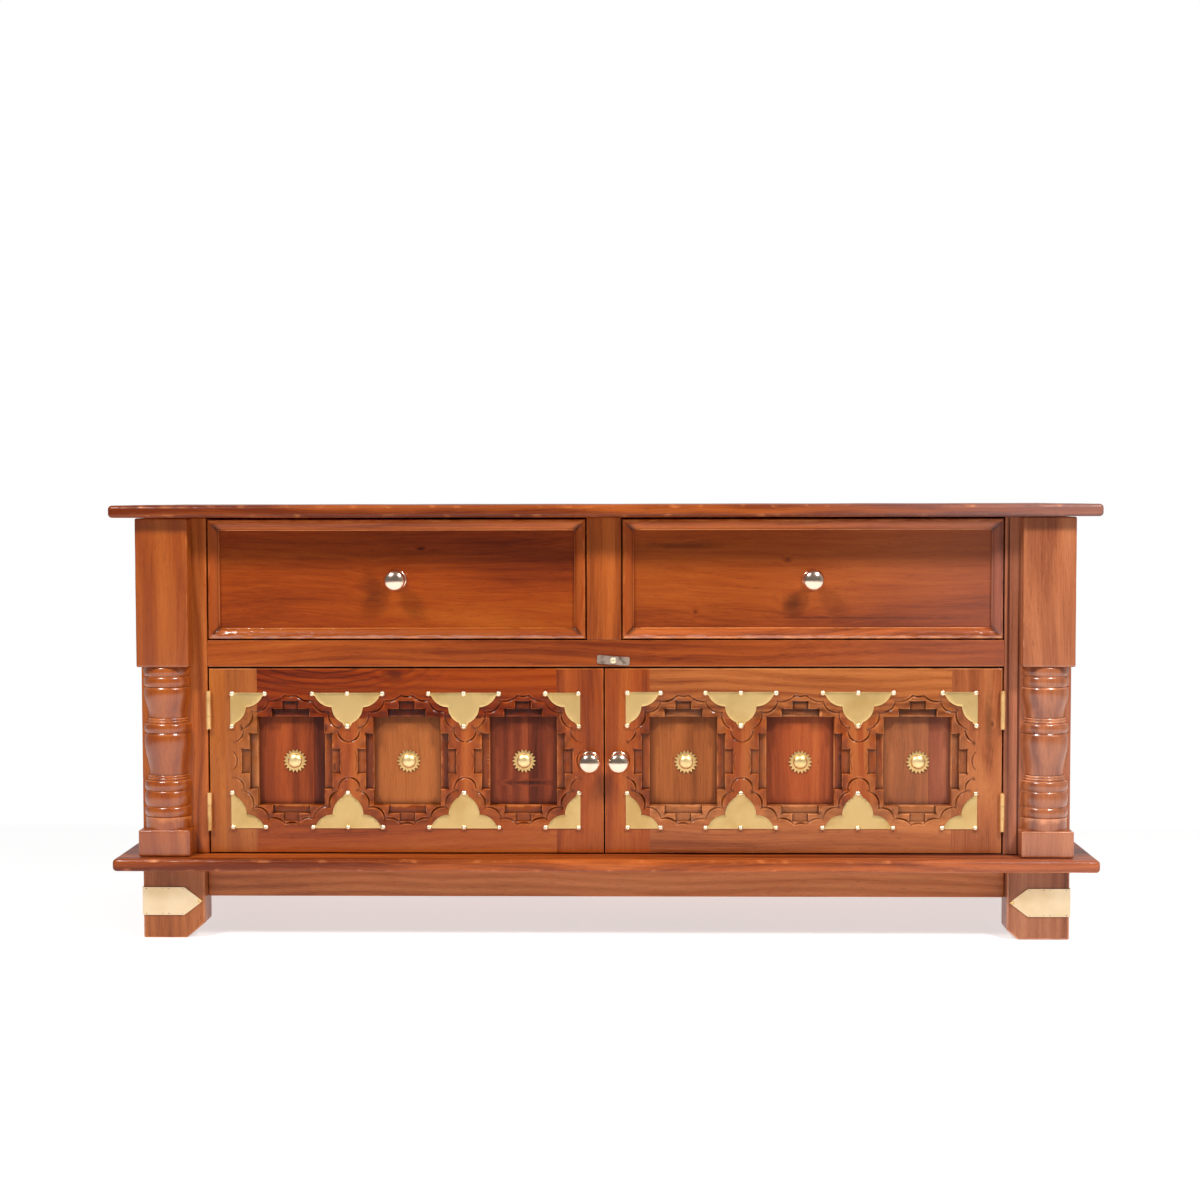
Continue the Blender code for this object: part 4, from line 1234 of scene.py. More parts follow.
@dataclass
class SplitPost:
    """A post sawn down its length: square head, turned middle and square plinth."""

    side: Side
    plinth: float = 0.033
    setback: float = 0.001
    overlap: float = 0.003
    collar: float = 0.0295
    bead: float = 0.0305
    root: float = 0.0280
    shoulder: float = 0.0302
    swell: float = 0.2
    neck: float = 0.0250
    band: float = 0.0275
    block_round: float = 2.0 * MM
    block_spacing: float = 14 * MM
    dent: float = 0.15 * MM
    wavelength: float = 0.06
    facets: int = 48

    def beads(self, top: float, height: float) -> list[Flat]:
        """Return a half-round bead below a level."""
        radii = (self.bead - self.root, height / 2)
        return arc_points((self.root, top - height / 2), radii, 88, -88, 12)

    def vase(self, top: float, height: float) -> list[Flat]:
        """Shape a vase: a shoulder, then a long taper to its neck.

        Args:
            top: The level that it hangs from.
            height: How tall it is.

        Returns:
            Its profile from the top down.
        """
        points = []
        for step in range(25):
            share = step / 24
            if share < self.swell:
                swell = math.sqrt(1 - (1 - share / self.swell) ** 2)
                radius = self.root + (self.shoulder - self.root) * swell
            else:
                swell = (1 + math.cos(math.pi * (share - self.swell) / (1 - self.swell))) / 2
                radius = self.neck + (self.shoulder - self.neck) * swell
            points.append((radius, top - height * share))
        return points

    def fillet(self, top: float, height: float) -> list[Flat]:
        """Return two narrow beads below a level."""
        places = (self.band - 2.0 * MM, top - height / 4), (self.band - 1.2 * MM, top - height * 3 / 4)
        return [point for place in places for point in arc_points(place, (1.2 * MM, height / 4), 88, -88, 8)]

    def profile(self, base: float) -> list[Flat]:
        """Shape the whole turning.

        Args:
            base: The level that it stands on.

        Returns:
            Its profile from the top down.
        """
        heights = [
            (self.beads, 0.0125), (self.beads, 0.0130), (self.vase, 0.0390), (self.fillet, 0.0065),
            (self.beads, 0.0120), (self.vase, 0.0530), (self.fillet, 0.0065), (self.beads, 0.0130),
            (self.beads, 0.0200), (self.beads, 0.0130), (None, 0.0150),
        ]
        level = base + sum(height for _, height in heights)
        points = [(self.collar, level + self.overlap)]
        for shape, height in heights:
            points += shape(level, height) if shape else [(self.collar, level), (self.collar, level - height)]
            level -= height
        points.append((self.collar, base - self.overlap))
        return [point for point, after in zip(points, points[1:] + [None]) if point != after]

    def build(self) -> None:
        """Draw the post in front of its stile."""
        node = f"{self.side.word}_split_post"
        low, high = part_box(node)
        middle = (low + high) / 2
        plinth_top = low.z + self.plinth
        profile = self.profile(plinth_top)
        head_low = profile[0][1] - self.overlap
        draft = Draft()
        ripple = Ripple(node, self.wavelength)
        for bottom, top in ((low.z, plinth_top), (head_low, high.z)):
            draft.rounded_box(
                Vector((low.x, low.y, bottom)), Vector((high.x, high.y, top)),
                self.block_round, 0, self.block_spacing, ripple, self.dent,
            )
        self.turn(draft, profile, (middle.x, low.y + self.setback + self.bead), high.y)
        # The right post takes the paler wood with the painted reflection haze.
        wood = POST_WOOD if self.side is Side.LEFT else PAINTED_HAZE_WOOD
        finish = replace(
            wood, grain=Grain.UPRIGHT_FRONT, gloss=0.8, polish=0.22, coat_index=1.75, ring_width=0.014
        )
        draft.piece(f"{node}_turned", [finish.material(node, middle)], "carcass", Slot.CASE, (node,))

    def turn(self, draft: Draft, profile: list[Flat], axis: Flat, back: float) -> None:
        """Draw the turned middle as far back as the saw cut.

        Args:
            draft: The drawing to add to.
            profile: Radius and height, from the top down.
            axis: Where the turning's axis stands.
            back: The plane of the saw cut.
        """
        rows = []
        for radius, height in profile:
            cut = math.asin((back - axis[1]) / radius)
            angles = [
                cut + (-math.pi - 2 * cut) * step / self.facets for step in range(self.facets + 1)
            ]
            places = [(axis[0] + radius * math.cos(a), axis[1] + radius * math.sin(a)) for a in angles]
            rows.append([draft.shape.verts.new((x, y, height)) for x, y in places])
        for row, after in zip(rows, rows[1:]):
            for step in range(self.facets):
                draft.face([row[step], row[step + 1], after[step + 1], after[step]])
            draft.face([row[0], after[0], after[-1], row[-1]])
        draft.face(rows[0])
        draft.face(rows[-1][::-1])


@dataclass
class Knob:
    """A polished round knob, flattened in front, on a short neck and a flange."""

    node: str
    head: Flat = (0.0133, 0.0080)
    back: float = 0.0105
    neck: float = 0.0056
    flange: float = 0.0126

    def build(self) -> None:
        """Turn the knob about the axis of its CAD node."""
        low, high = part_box(self.node)
        middle = (low + high) / 2
        reach = high.y - low.y
        widest = (0.0, reach - self.head[1])
        profile = arc_points(widest, self.head, 90, 0, 20)
        profile[0] = (0.0, reach)
        profile += arc_points(widest, (self.head[0], self.back), 0, -62, 12)[1:]
        profile += [
            (self.neck, 0.0100), (self.neck, 0.0070), (self.neck + 0.7 * MM, 0.0052),
            (self.neck + 2.0 * MM, 0.0042), (self.flange - 1.4 * MM, 0.0036),
            (self.flange - 0.5 * MM, 0.0030), (self.flange, 0.0020), (self.flange, 0.0), (0.0, 0.0),
        ]
        place = Matrix.Translation((middle.x, high.y, middle.z)) @ FACE_FRONT
        draft = Draft()
        draft.spun(profile, place, 56)
        material = KNOB_METAL.material()
        draft.piece(f"{self.node}_turned", [material], body_of(self.node), Slot.POLISHED, (self.node,))


@dataclass
class Rosette:
    """A toothed sun of sheet brass under a polished boss, nailed a little off its mark."""

    node: str
    slip: Flat
    teeth: int = 18
    radius: float = 0.0150
    tooth: float = 0.0036
    boss: float = 0.0094
    rim: float = 0.0005
    lap: float = 1.0 * MM
    apron: float = 1.2 * MM
    sheet: Triple = (1.5 * MM, 1.35 * MM, 1.2 * MM)
    back: float = 0.15 * MM
    tip_drop: float = 0.15 * MM
    boss_foot: float = 1.0 * MM
    boss_seat: float = 1.6 * MM

    def build(self) -> None:
        """Draw the sun and its boss."""
        low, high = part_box(self.node)
        middle = (low + high) / 2
        tall = high.y - low.y
        place = Matrix.Translation((middle.x + self.slip[0], high.y, middle.z + self.slip[1])) @ FACE_FRONT
        draft = Draft()
        sizes = [self.boss - self.lap, self.boss + self.apron, None]
        rings = [*zip(sizes, self.sheet), (None, self.back), (sizes[0], self.back)]
        count = 2 * self.teeth
        rows = []
        for size, height in rings:
            row = []
            for step in range(count):
                angle = math.pi * step / self.teeth
                out = size or self.radius - (step % 2) * self.tooth
                at_tip = height == self.sheet[2] and step % 2 == 0
                rise = height - (self.tip_drop if at_tip else 0.0)
                row.append(draft.shape.verts.new(
                    place @ Vector((out * math.cos(angle), out * math.sin(angle), rise))
                ))
            rows.append(row)
        draft.join(rows + rows[:1], 0)
        dome = arc_points((0.0, self.boss_seat), (self.boss, tall - self.boss_seat), 90, 0, 12)
        dome[0] = (0.0, tall)
        brim = self.boss + self.rim
        dome += [(brim, self.boss_seat), (brim, self.boss_foot), (0.0, self.boss_foot)]
        draft.spun(dome, place, 40, 1)
        finishes = [SHEET_BRASS.material(), BOSS_BRASS.material()]
        draft.piece(f"{self.node}_sun", finishes, body_of(self.node), Slot.SHEET, (self.node,), 30.0)


@dataclass
class BrassPlate:
    """The scalloped plate outline: half a middle plate, or a whole corner plate."""

    reach: float = 0.0450
    height: float = 0.0455
    notch: Flat = (0.0195, 0.0180)
    bulge: float = 0.0034
    thick: float = 0.0010
    waves: float = 0.25 * MM
    rim: float = 0.8 * MM
    rim_drop: float = 0.25 * MM
    rim_spacing: float = 2.5 * MM
    spacing: float = 5 * MM

    def outline(self, corner: bool) -> list[Flat]:
        """Shape the outline, its base along the first axis.

        Args:
            corner: Whether it is a corner plate, which has one scalloped side.

        Returns:
            The outline's points, all round.
        """
        foot = (self.reach - 5.0 * MM, 5.0 * MM)
        shoulder = (6.4 * MM, self.height - 8.0 * MM)
        away = (1.0, 1.0)
        half = [(self.reach, 0.0), (self.reach, 1.6 * MM), (self.reach - 3.6 * MM, 3.4 * MM)]
        half += Arc.bulging(foot, self.notch, self.bulge, away).points()
        half += Arc.bulging(self.notch, shoulder, self.bulge, away).points()[1:]
        half += [(4.4 * MM, self.height - 4.6 * MM)]
        half += arc_points((0.0, self.height - 3.2 * MM), (3.6 * MM, 3.6 * MM), 15, 90, 5)
        return half + ([(0.0, 0.0)] if corner else [(-x, z) for x, z in reversed(half[:-1])])

    def draw(self, draft: Draft, corner: bool, place: Vector, flip: Flat, ripple: Ripple) -> None:
        """Draw one plate on a door.

        Args:
            draft: The drawing to add to.
            corner: Whether it is a corner plate.
            place: The middle of its base, or its corner, on the door's face.
            flip: The signs that turn it left or right, and up or down.
            ripple: The unevenness of the sheet.
        """
        corners = [(place.x + flip[0] * x, place.z + flip[1] * z) for x, z in self.outline(corner)]
        outline = loop_along(corners, self.rim_spacing)
        relief = Relief()
        relief.line(outline, closed=True)
        xs = [x for x, _ in outline]
        zs = [z for _, z in outline]
        for x in np.arange(min(xs) + 2 * MM, max(xs), self.spacing):
            levels = np.arange(min(zs) + 2 * MM, max(zs), self.spacing)
            relief.points += [(float(x), float(z)) for z in levels]
        for before, point, after in zip(outline[-1:] + outline, outline, outline[1:] + outline[:1]):
            run = Vector((after[0] - before[0], after[1] - before[1])).normalized() * self.rim
            sign = flip[0] * flip[1]
            relief.points.append((point[0] - sign * run.y, point[1] + sign * run.x))
        points, triangles = relief.triangles(inside=True)
        fronts = place.y - self.thick + self.waves * (ripple.over(points) - 0.5)
        made = [draft.shape.verts.new((x, y, z)) for (x, z), y in zip(points, fronts)]
        faces = [draft.face([made[index] for index in triangle]) for triangle in triangles]
        rim = [edge for edge in {e for face in faces for e in face.edges} if len(edge.link_faces) == 1]
        for point in {point for edge in rim for point in edge.verts}:
            point.co.y += self.rim_drop
        draft.fill(draft.wall(rim, place.y))


@dataclass
class Stave:
    """A strip of a door's panel board: where it ends, and its tone."""

    end: float
    finish: WoodFinish


RED_STAVE = WoodFinish(
    "red_stave", Colour(180, 92, 43), Colour(157, 71, 31), Colour(112, 45, 19), Grain.UPRIGHT_FRONT,
    streaks=0.25, gloss=0.08, lines=0.12, bloom=0.12,
)
TAN_STAVE = WoodFinish(
    "tan_stave", Colour(181, 106, 54), Colour(158, 87, 42), Colour(114, 57, 25), Grain.UPRIGHT_FRONT,
    streaks=0.15, gloss=0.08, lines=0.08, ring_share=0.05, spread=10.0, bloom=0.15,
)
DARK_STAVE = WoodFinish(
    "dark_stave", Colour(140, 64, 34), Colour(112, 46, 24), Colour(62, 23, 13), Grain.UPRIGHT_FRONT,
    streaks=0.5, gloss=0.08, spread=32.0,
    knots=(Knot((-0.102, -0.146, 0.192), (0.036, 0.03, 0.004), 0.7),),
)
BROWN_STAVE = replace(RED_STAVE, light=Colour(166, 91, 55), middle=Colour(144, 72, 41))
# The right door's bottom rail, paler: a painted reflection haze on the right side of the case.
PAINTED_HAZE_RAIL = replace(PALE_WOOD, light=Colour(194, 118, 67), middle=Colour(170, 95, 50))
BROWN_STILE = replace(STRIP_WOOD, light=Colour(180, 105, 50), middle=Colour(157, 84, 36))
HINGE_STILE = replace(
    CARVED_WOOD, grain=Grain.UPRIGHT_FRONT, light=Colour(188, 113, 64), middle=Colour(165, 91, 49),
    streaks=0.35,
    knots=(
        Knot((0.4834, -0.160, 0.268), (0.0035, 0.03, 0.0060), 0.6),
        Knot((0.4790, -0.160, 0.270), (0.0095, 0.03, 0.0900), 0.5),
    ),
)
STAVES = {
    Side.LEFT: [
        Stave(-0.119, RED_STAVE), Stave(-0.060, DARK_STAVE), Stave(0.072, TAN_STAVE),
        Stave(0.152, DARK_STAVE), Stave(1.0, DARK_STAVE),
    ],
    Side.RIGHT: [
        Stave(-0.076, TAN_STAVE), Stave(0.072, RED_STAVE), Stave(0.159, TAN_STAVE), Stave(1.0, BROWN_STAVE),
    ],
}


@dataclass
class CarvedDoor:
    """A carved door: its frame, panel board, brass mounts and knob."""

    side: Side
    nails: NailTree
    stile: float = 0.0585
    rail: float = 0.0612
    muntin: float = 0.0620
    panel_depth: float = 0.0142
    panel_lap: float = 0.0143
    sink: float = 1.0 * MM
    step: float = 0.010
    inner_span: Flat = (0.0470, 0.0700)
    outer_span: Flat = (0.0200, 0.0310)
    inner_depth: float = 0.0065
    outer_depth: float = 0.0030
    arris: float = 0.9 * MM
    opening_arris: float = 0.8 * MM
    wall_run: Run = (-0.6 * MM, -0.2 * MM, 0.2 * MM, 0.9 * MM)
    wall_fall: Run = (0.0, 0.05, 0.32, 1.0)
    groove_depth: float = 2.2 * MM
    groove_sides: Flat = (2.2 * MM, 1.3 * MM)
    carving_rise: float = 1.0 * MM
    tool_marks: float = 0.5 * MM
    waviness: float = 0.22 * MM
    chopped_field: Flat = (18 * MM, 24 * MM)
    stained_field: Flat = (16 * MM, 24 * MM)
    field_stain: float = 0.45
    # Painted shade in the gouge grooves, and in the corners of the stepped recesses.
    groove_stain: float = 0.95
    corner_run: Run = (0.0, 0.8 * MM, 4.0 * MM)
    corner_stain: Run = (0.0, 0.55, 0.28)
    spacing: float = 5 * MM
    line_spacing: float = 4.5 * MM
    stave_round: float = 0.35 * MM
    stave_spacing: float = 3.5 * MM
    stave_dent: float = 0.1 * MM
    # Painted shade along the edges of each opening, and a painted shadow below its top edge.
    panel_run: Run = (0.0, 2 * MM, 7 * MM)
    panel_stain: Run = (0.7, 0.24, 0.0)
    shade_run: Run = (0.0, 6 * MM, 15 * MM)
    shade_stain: Run = (0.4, 0.28, 0.0)
    cusps: tuple[Flat, ...] = (
        (0.0077, 0.0813), (0.0288, 0.0745), (0.0491, 0.0610), (0.0590, 0.0402),
    )
    sags: Run = (0.0034, 0.0062, 0.0048)
    top_sag: float = 0.0015
    loop_radius: float = 0.0133
    loop_rise: float = 0.0362
    eye: Triple = (0.0657, 0.0118, 0.0033)
    end_eye: Triple = (0.0727, 0.0114, 0.0049)
    end_loop: float = 0.70
    cuts: Flat = (0.5, 1.0)
    eye_cuts: Flat = (0.25, 0.4)
    jitter: float = 1.0 * MM
    wavelengths: Flat = (0.035, 0.011)
    sheet_wavelength: float = 0.03
    hinge_grow: float = 1.4 * MM
    top_trim: float = 0.5 * MM
    strips: Run = ()
    shift: float = 0.0
    slips: Run = (3.2 * MM, 1.0 * MM, 0.3 * MM)
    drop: float = 2.0 * MM
    plate_rows: Flat = (0.0853, -0.0855)
    plate_insets: Flat = (0.0250, 0.0290)
    plate_gap: float = 0.02 * MM
    seam_slip: float = 1.4 * MM
    nail: Flat = (3.5 * MM, 2.9 * MM)
    nail_rise: float = 1.2 * MM
    tip_inset: float = 3.2 * MM
    end_inset: float = 1.0 * MM
    corner_insets: Triple = (2.2 * MM, 1.5 * MM, 1.6 * MM)

    def __post_init__(self) -> None:
        """Measure the door's CAD frame."""
        self.name = f"{self.side.word}_door"
        self.low, self.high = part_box(f"{self.name}_frame")
        self.middle = (self.low + self.high) / 2
        opening = (self.high.x - self.low.x - 2 * self.stile - 2 * self.muntin) / 3
        self.half = (opening / 2, (self.high.z - self.low.z) / 2 - self.rail + self.sink)
        self.level = self.middle.z - self.sink
        self.high.z -= self.top_trim
        self.pitch = opening + self.muntin
        self.centres = [self.middle.x + self.shift + self.pitch * step for step in (-1, 0, 1)]
        self.joints = [self.low.x + self.stile + self.shift, self.high.x - self.stile + self.shift]
        self.edges = [self.low.x, self.high.x]
        self.edges[0 if self.side is Side.LEFT else 1] += self.side.value * self.hinge_grow
        self.strokes = self.gouge_strokes()
        self.ripple = Ripple(self.name, self.wavelengths[0])
        self.chops = Ripple(f"{self.name}_chops", self.wavelengths[1])

    def gouge_strokes(self) -> list[Arc]:
        """Plan the carving.

        Returns:
            The scalloped strokes round the three panels.
        """
        chance = random.Random(self.name)
        strokes = []
        for centre in self.centres:
            goal = (centre, self.middle.z)
            for up in (1, -1):
                base = self.middle.z + self.carving_rise
                starts = []
                for hand in (-1, 1):
                    cusps = [
                        (
                            centre + hand * (x + chance.uniform(-0.5, 0.5) * self.jitter),
                            base + up * (z + chance.uniform(-0.5, 0.5) * self.jitter),
                        )
                        for x, z in self.cusps
                    ]
                    starts.append(cusps[0])
                    for first, last, sag in zip(cusps, cusps[1:], self.sags):
                        strokes.append(Arc.bulging(first, last, sag, goal, chance.uniform(*self.cuts)))
                    strokes.append(self.loop_stroke(centre, hand, up, chance.uniform(*self.cuts)))
                cut = chance.uniform(*self.cuts)
                strokes.append(Arc.bulging(starts[0], starts[1], self.top_sag, goal, cut))
            for hand in (-1, 1):
                at_end = self.at_end(centre, hand)
                away, tall, sag = self.end_eye if at_end else self.eye
                ends = [(centre + hand * away, self.middle.z + up * tall) for up in (1, -1)]
                strokes.append(Arc.bulging(ends[0], ends[1], sag, goal, self.eye_cuts[at_end]))
        return strokes

    def at_end(self, centre: float, hand: int) -> bool:
        """Tell whether a side of a panel faces an outer stile."""
        return centre == (self.centres[0] if hand < 0 else self.centres[-1])

    def loop_stroke(self, centre: float, hand: int, up: int, cut: float) -> Arc:
        """Return one side of the loop under a plate's tip.

        Args:
            centre: The panel's middle.
            hand: The side of the panel.
            up: Whether it is over or under the door's middle.
            cut: The share of the full depth that the gouge went in.

        Returns:
            The stroke, cut short at an outer stile.
        """
        x = centre + hand * self.pitch / 2
        z = self.middle.z + self.carving_rise + up * self.loop_rise
        turn = math.pi / 2 * (self.end_loop if self.at_end(centre, hand) else 1.0)
        first = (x - hand * self.loop_radius, z)
        last = (x - hand * self.loop_radius * math.cos(turn), z - up * self.loop_radius * math.sin(turn))
        sag = self.loop_radius * (1 - math.cos(turn / 2))
        return Arc.bulging(first, last, sag, (centre, self.middle.z), cut)

    def crosses(self) -> list[tuple[list[Flat], float]]:
        """Plan the stepped recesses round a panel.

        Returns:
            Half sizes of each recess's nested rectangles, widest first, and its depth.
        """
        wide, tall = self.half
        step = self.step
        inner = [
            (wide + step, self.inner_span[1] / 2), (wide, tall), (self.inner_span[0] / 2, tall + step)
        ]
        outer = [(wide + 2 * step, self.outer_span[1] / 2), *inner]
        outer.append((self.outer_span[0] / 2, tall + 2 * step))
        return [(outer, self.outer_depth), (inner, self.inner_depth)]

    def cross_line(self, centre: float, steps: list[Flat], grow: float) -> list[Flat]:
        """Return a stepped outline, grown or shrunk.

        Args:
            centre: The panel's middle.
            steps: Half sizes of the nested rectangles, widest first.
            grow: How much larger the outline is.

        Returns:
            The points round the outline.
        """
        sizes = [(x + grow, z + grow) for x, z in steps]
        corner = [point for a, b in zip(sizes, sizes[1:]) for point in (a, (b[0], a[1]))] + [sizes[-1]]
        upper = corner + [(-x, z) for x, z in reversed(corner)]
        both = upper + [(-x, -z) for x, z in upper]
        return loop_along([(centre + x, self.level + z) for x, z in both], self.line_spacing)

    def depth(self, points: np.ndarray) -> np.ndarray:
        """Find how far the carving is sunk.

        Args:
            points: Rows of X and Z, over the face.

        Returns:
            The depth below the face at each.
        """
        depth = np.zeros(len(points))
        rim = np.full(len(points), 1.0)
        for centre in self.centres:
            for steps, sunk in self.crosses():
                inside = self.inside_steps(centre, steps, points)
                depth = np.maximum(depth, sunk * np.interp(inside, self.wall_run, self.wall_fall))
            rim = np.minimum(rim, self.past_opening(centre, points))
        for stroke in self.strokes:
            depth = np.maximum(depth, self.groove_depth * self.furrow(stroke, points))
        xs, zs = points.T
        left, right = self.edges
        edge = np.minimum.reduce([xs - left, right - xs, zs - self.low.z, self.high.z - zs])
        depth += self.eased(edge, self.arris) + self.eased(rim, self.opening_arris)
        chopped = np.interp(rim, self.chopped_field, (1.0, 0.0)) * self.chops.over(points)
        return depth + self.waviness * self.ripple.over(points) + self.tool_marks * chopped

    def inside_steps(self, centre: float, steps: list[Flat], points: np.ndarray) -> np.ndarray:
        """Return how far points of the face lie inside a stepped recess."""
        across, up = np.abs(points - (centre, self.level)).T
        return np.max([np.minimum(x - across, z - up) for x, z in steps], axis=0)

    def past_opening(self, centre: float, points: np.ndarray) -> np.ndarray:
        """Return how far points of the face lie outside a panel's opening."""
        return np.max(np.abs(points - (centre, self.level)) - self.half, axis=1)

    def furrow(self, stroke: Arc, points: np.ndarray) -> np.ndarray:
        """Measure a gouge stroke.

        Args:
            stroke: The stroke.
            points: Rows of X and Z, over the face.

        Returns:
            The share of the full depth that it has at each, under 0 beside it.
        """
        away, share = stroke.reach(points)
        width = np.where(away > 0, *self.groove_sides)
        taper = 0.2 + 0.8 * np.sin(math.pi * share)
        return stroke.cut * taper * (1 - np.abs(away) / width)

    def stained(self, points: np.ndarray) -> np.ndarray:
        """Find how dark the face is painted: stains in the carved field, painted shade in the stepped
        recesses, more on their upper steps, and painted shade in the gouge grooves.

        Args:
            points: Rows of X and Z, over the face.

        Returns:
            How dark each is, 0 to 1.
        """
        chopped = self.field_stain * self.chops.over(points)
        # The upper steps of the recesses take more painted shade.
        shaded = np.clip((points[:, 1] - self.level - self.half[1]) / self.step, 0.0, 0.5)
        stain = np.zeros(len(points))
        for centre in self.centres:
            # Painted shade in the corners of the stepped recesses.
            for steps, _ in self.crosses():
                inside = self.inside_steps(centre, steps, points)
                recess_shade = np.interp(inside, self.corner_run, self.corner_stain)
                stain = np.maximum(stain, recess_shade * (1 + shaded))
            field = np.interp(self.past_opening(centre, points), self.stained_field, (1.0, 0.0))
            stain = np.maximum(stain, field * chopped)
        # Painted shade in the gouge grooves, by how deep they are cut.
        for stroke in self.strokes:
            stain = np.maximum(stain, self.groove_stain * self.furrow(stroke, points))
        return stain

    @staticmethod
    def eased(distance: np.ndarray, radius: float) -> np.ndarray:
        """Return how far a rounded arris has fallen at a distance from its edge."""
        run = np.clip(radius - distance, 0.0, radius)
        return radius - np.sqrt(radius * radius - run * run)

    def member(self, x: float, z: float) -> int:
        """Tell which member of the frame holds a point of the face.

        Args:
            x: The point's X.
            z: The point's Z.

        Returns:
            The member's finish number.
        """
        if x < self.joints[0]:
            return 5 if any(x < self.low.x + strip for strip in self.strips) else 2
        if x > self.joints[1]:
            return 3
        if z > self.high.z - self.rail:
            return 0
        return 1 if z < self.low.z + self.rail else 4

    def face_lines(self) -> Relief:
        """Lay out the face.

        Returns:
            The lines and points that its triangles keep to.
        """
        relief = Relief()
        left, right = self.edges
        for inset in (0.0, 0.25 * MM, 0.6 * MM, self.arris, 2.8 * MM):
            ends = (left + inset, self.low.z + inset), (right - inset, self.high.z - inset)
            relief.line(loop_along(rectangle(*ends), 6 * MM), closed=True)
        for centre in self.centres:
            for grow in (0.0, 0.25 * MM, 0.8 * MM):
                wide, tall = self.half[0] + grow, self.half[1] + grow
                ends = (centre - wide, self.level - tall), (centre + wide, self.level + tall)
                relief.line(loop_along(rectangle(*ends), self.line_spacing), closed=True)
            for steps, _ in self.crosses():
                for grow in (1.6 * MM, 0.6 * MM, 0.2 * MM, -0.2 * MM, -0.9 * MM, -1.7 * MM):
                    relief.line(self.cross_line(centre, steps, grow), closed=True)
        wide, narrow = self.groove_sides
        for stroke in self.strokes:
            for offset in (wide + 0.9 * MM, wide, 0.0, -narrow, -narrow - 0.9 * MM):
                relief.line(stroke.points(offset))
        for x in self.joints + [self.low.x + strip for strip in self.strips]:
            relief.line(along((x, self.low.z), (x, self.high.z), self.spacing) + [(x, self.high.z)])
        for x in np.arange(self.low.x + 4 * MM, self.high.x - 3 * MM, self.spacing):
            for z in np.arange(self.low.z + 4 * MM, self.high.z - 3 * MM, self.spacing):
                relief.points.append((float(x), float(z)))
        return relief

    def build_frame(self) -> None:
        """Draw the carved frame as one closed shape."""
        points, triangles = self.face_lines().triangles(inside=False)
        sunk = self.depth(points)
        draft = Draft()
        made = [draft.shape.verts.new((x, self.low.y + y, z)) for (x, z), y in zip(points, sunk)]
        # Mark the face with its stains and painted shade.
        stain = draft.mark("stain")
        for point, dark in zip(made, self.stained(points)):
            point[stain] = dark
        middles = points[np.array(triangles)].mean(axis=1)
        beside = np.min([self.past_opening(centre, middles) for centre in self.centres], axis=0)
        for triangle, (x, z), away in zip(triangles, middles, beside):
            if away >= 0:
                draft.face([made[index] for index in triangle], self.member(x, z))
        self.close_back(draft)
        loose = [point for point in draft.shape.verts if not point.link_faces]
        bmesh.ops.delete(draft.shape, geom=loose, context="VERTS")
        upright = replace(CARVED_WOOD, grain=Grain.UPRIGHT_FRONT, streaks=0.35)
        on_left = self.side is Side.LEFT
        top_rail = FLAME_WOOD if on_left else PALE_WOOD
        bottom_rail = replace(
            CARVED_WOOD if on_left else PAINTED_HAZE_RAIL, ring_share=0.04, lines=0.12, streaks=0.3
        )
        muntins = upright if on_left else replace(upright, light=Colour(180, 99, 44))
        left_stile = BROWN_STILE if on_left else upright
        right_stile = upright if on_left else HINGE_STILE
        members = [
            ("top_rail", top_rail, 0.0, 0.09), ("bottom_rail", bottom_rail, 0.0, -0.09),
            ("left_stile", left_stile, -0.22, 0.0), ("right_stile", right_stile, 0.22, 0.0),
            ("muntins", muntins, 0.0, 0.0), ("strip", STRIP_WOOD, -0.25, 0.0),
        ]
        finishes = [
            finish.material(f"{self.name}_{member}", self.middle + Vector((across, 0.0, up)))
            for member, finish, across, up in members
        ]
        draft.piece(
            f"{self.name}_frame_carved", finishes, self.name, Slot.CARVED, (f"{self.name}_frame",), 32.0
        )

    def close_back(self, draft: Draft) -> None:
        """Add the walls, the rebate for the panel board and the back of the frame.

        Args:
            draft: The drawing that has the face.
        """
        rebate = self.low.y + self.panel_depth
        loops = {rebate: [], self.high.y: []}
        for edge in [edge for edge in draft.shape.edges if len(edge.link_faces) == 1]:
            x, _, z = (edge.verts[0].co + edge.verts[1].co) / 2
            margin = min(x - self.edges[0], self.edges[1] - x, z - self.low.z, self.high.z - z)
            loops[self.high.y if margin < 0.1 * MM else rebate].append(edge)
        rims = {level: draft.wall(edges, level) for level, edges in loops.items()}
        wide = self.pitch + self.half[0] + self.panel_lap
        tall = self.half[1] - self.sink + self.panel_lap
        corners = rectangle((-wide, -tall), (wide, tall))
        rings = []
        for level in (rebate, self.high.y):
            ring = [draft.shape.verts.new((self.middle.x + x, level, self.middle.z + z)) for x, z in corners]
            rims[level] += [draft.shape.edges.new((ring[step], ring[(step + 1) % 4])) for step in range(4)]
            rings.append(ring)
        for step in range(4):
            after = (step + 1) % 4
            draft.face([rings[0][step], rings[0][after], rings[1][after], rings[1][step]])
        for edges in rims.values():
            faces = [face for face in draft.fill(edges) if isinstance(face, bmesh.types.BMFace)]
            bmesh.ops.inset_region(draft.shape, faces=faces, thickness=self.arris, use_even_offset=True)
        for face in draft.shape.faces:
            if face.normal.y > 0.5 or abs(face.normal.y) < 0.05:
                centre = face.calc_center_median()
                face.material_index = self.member(centre.x, centre.z)

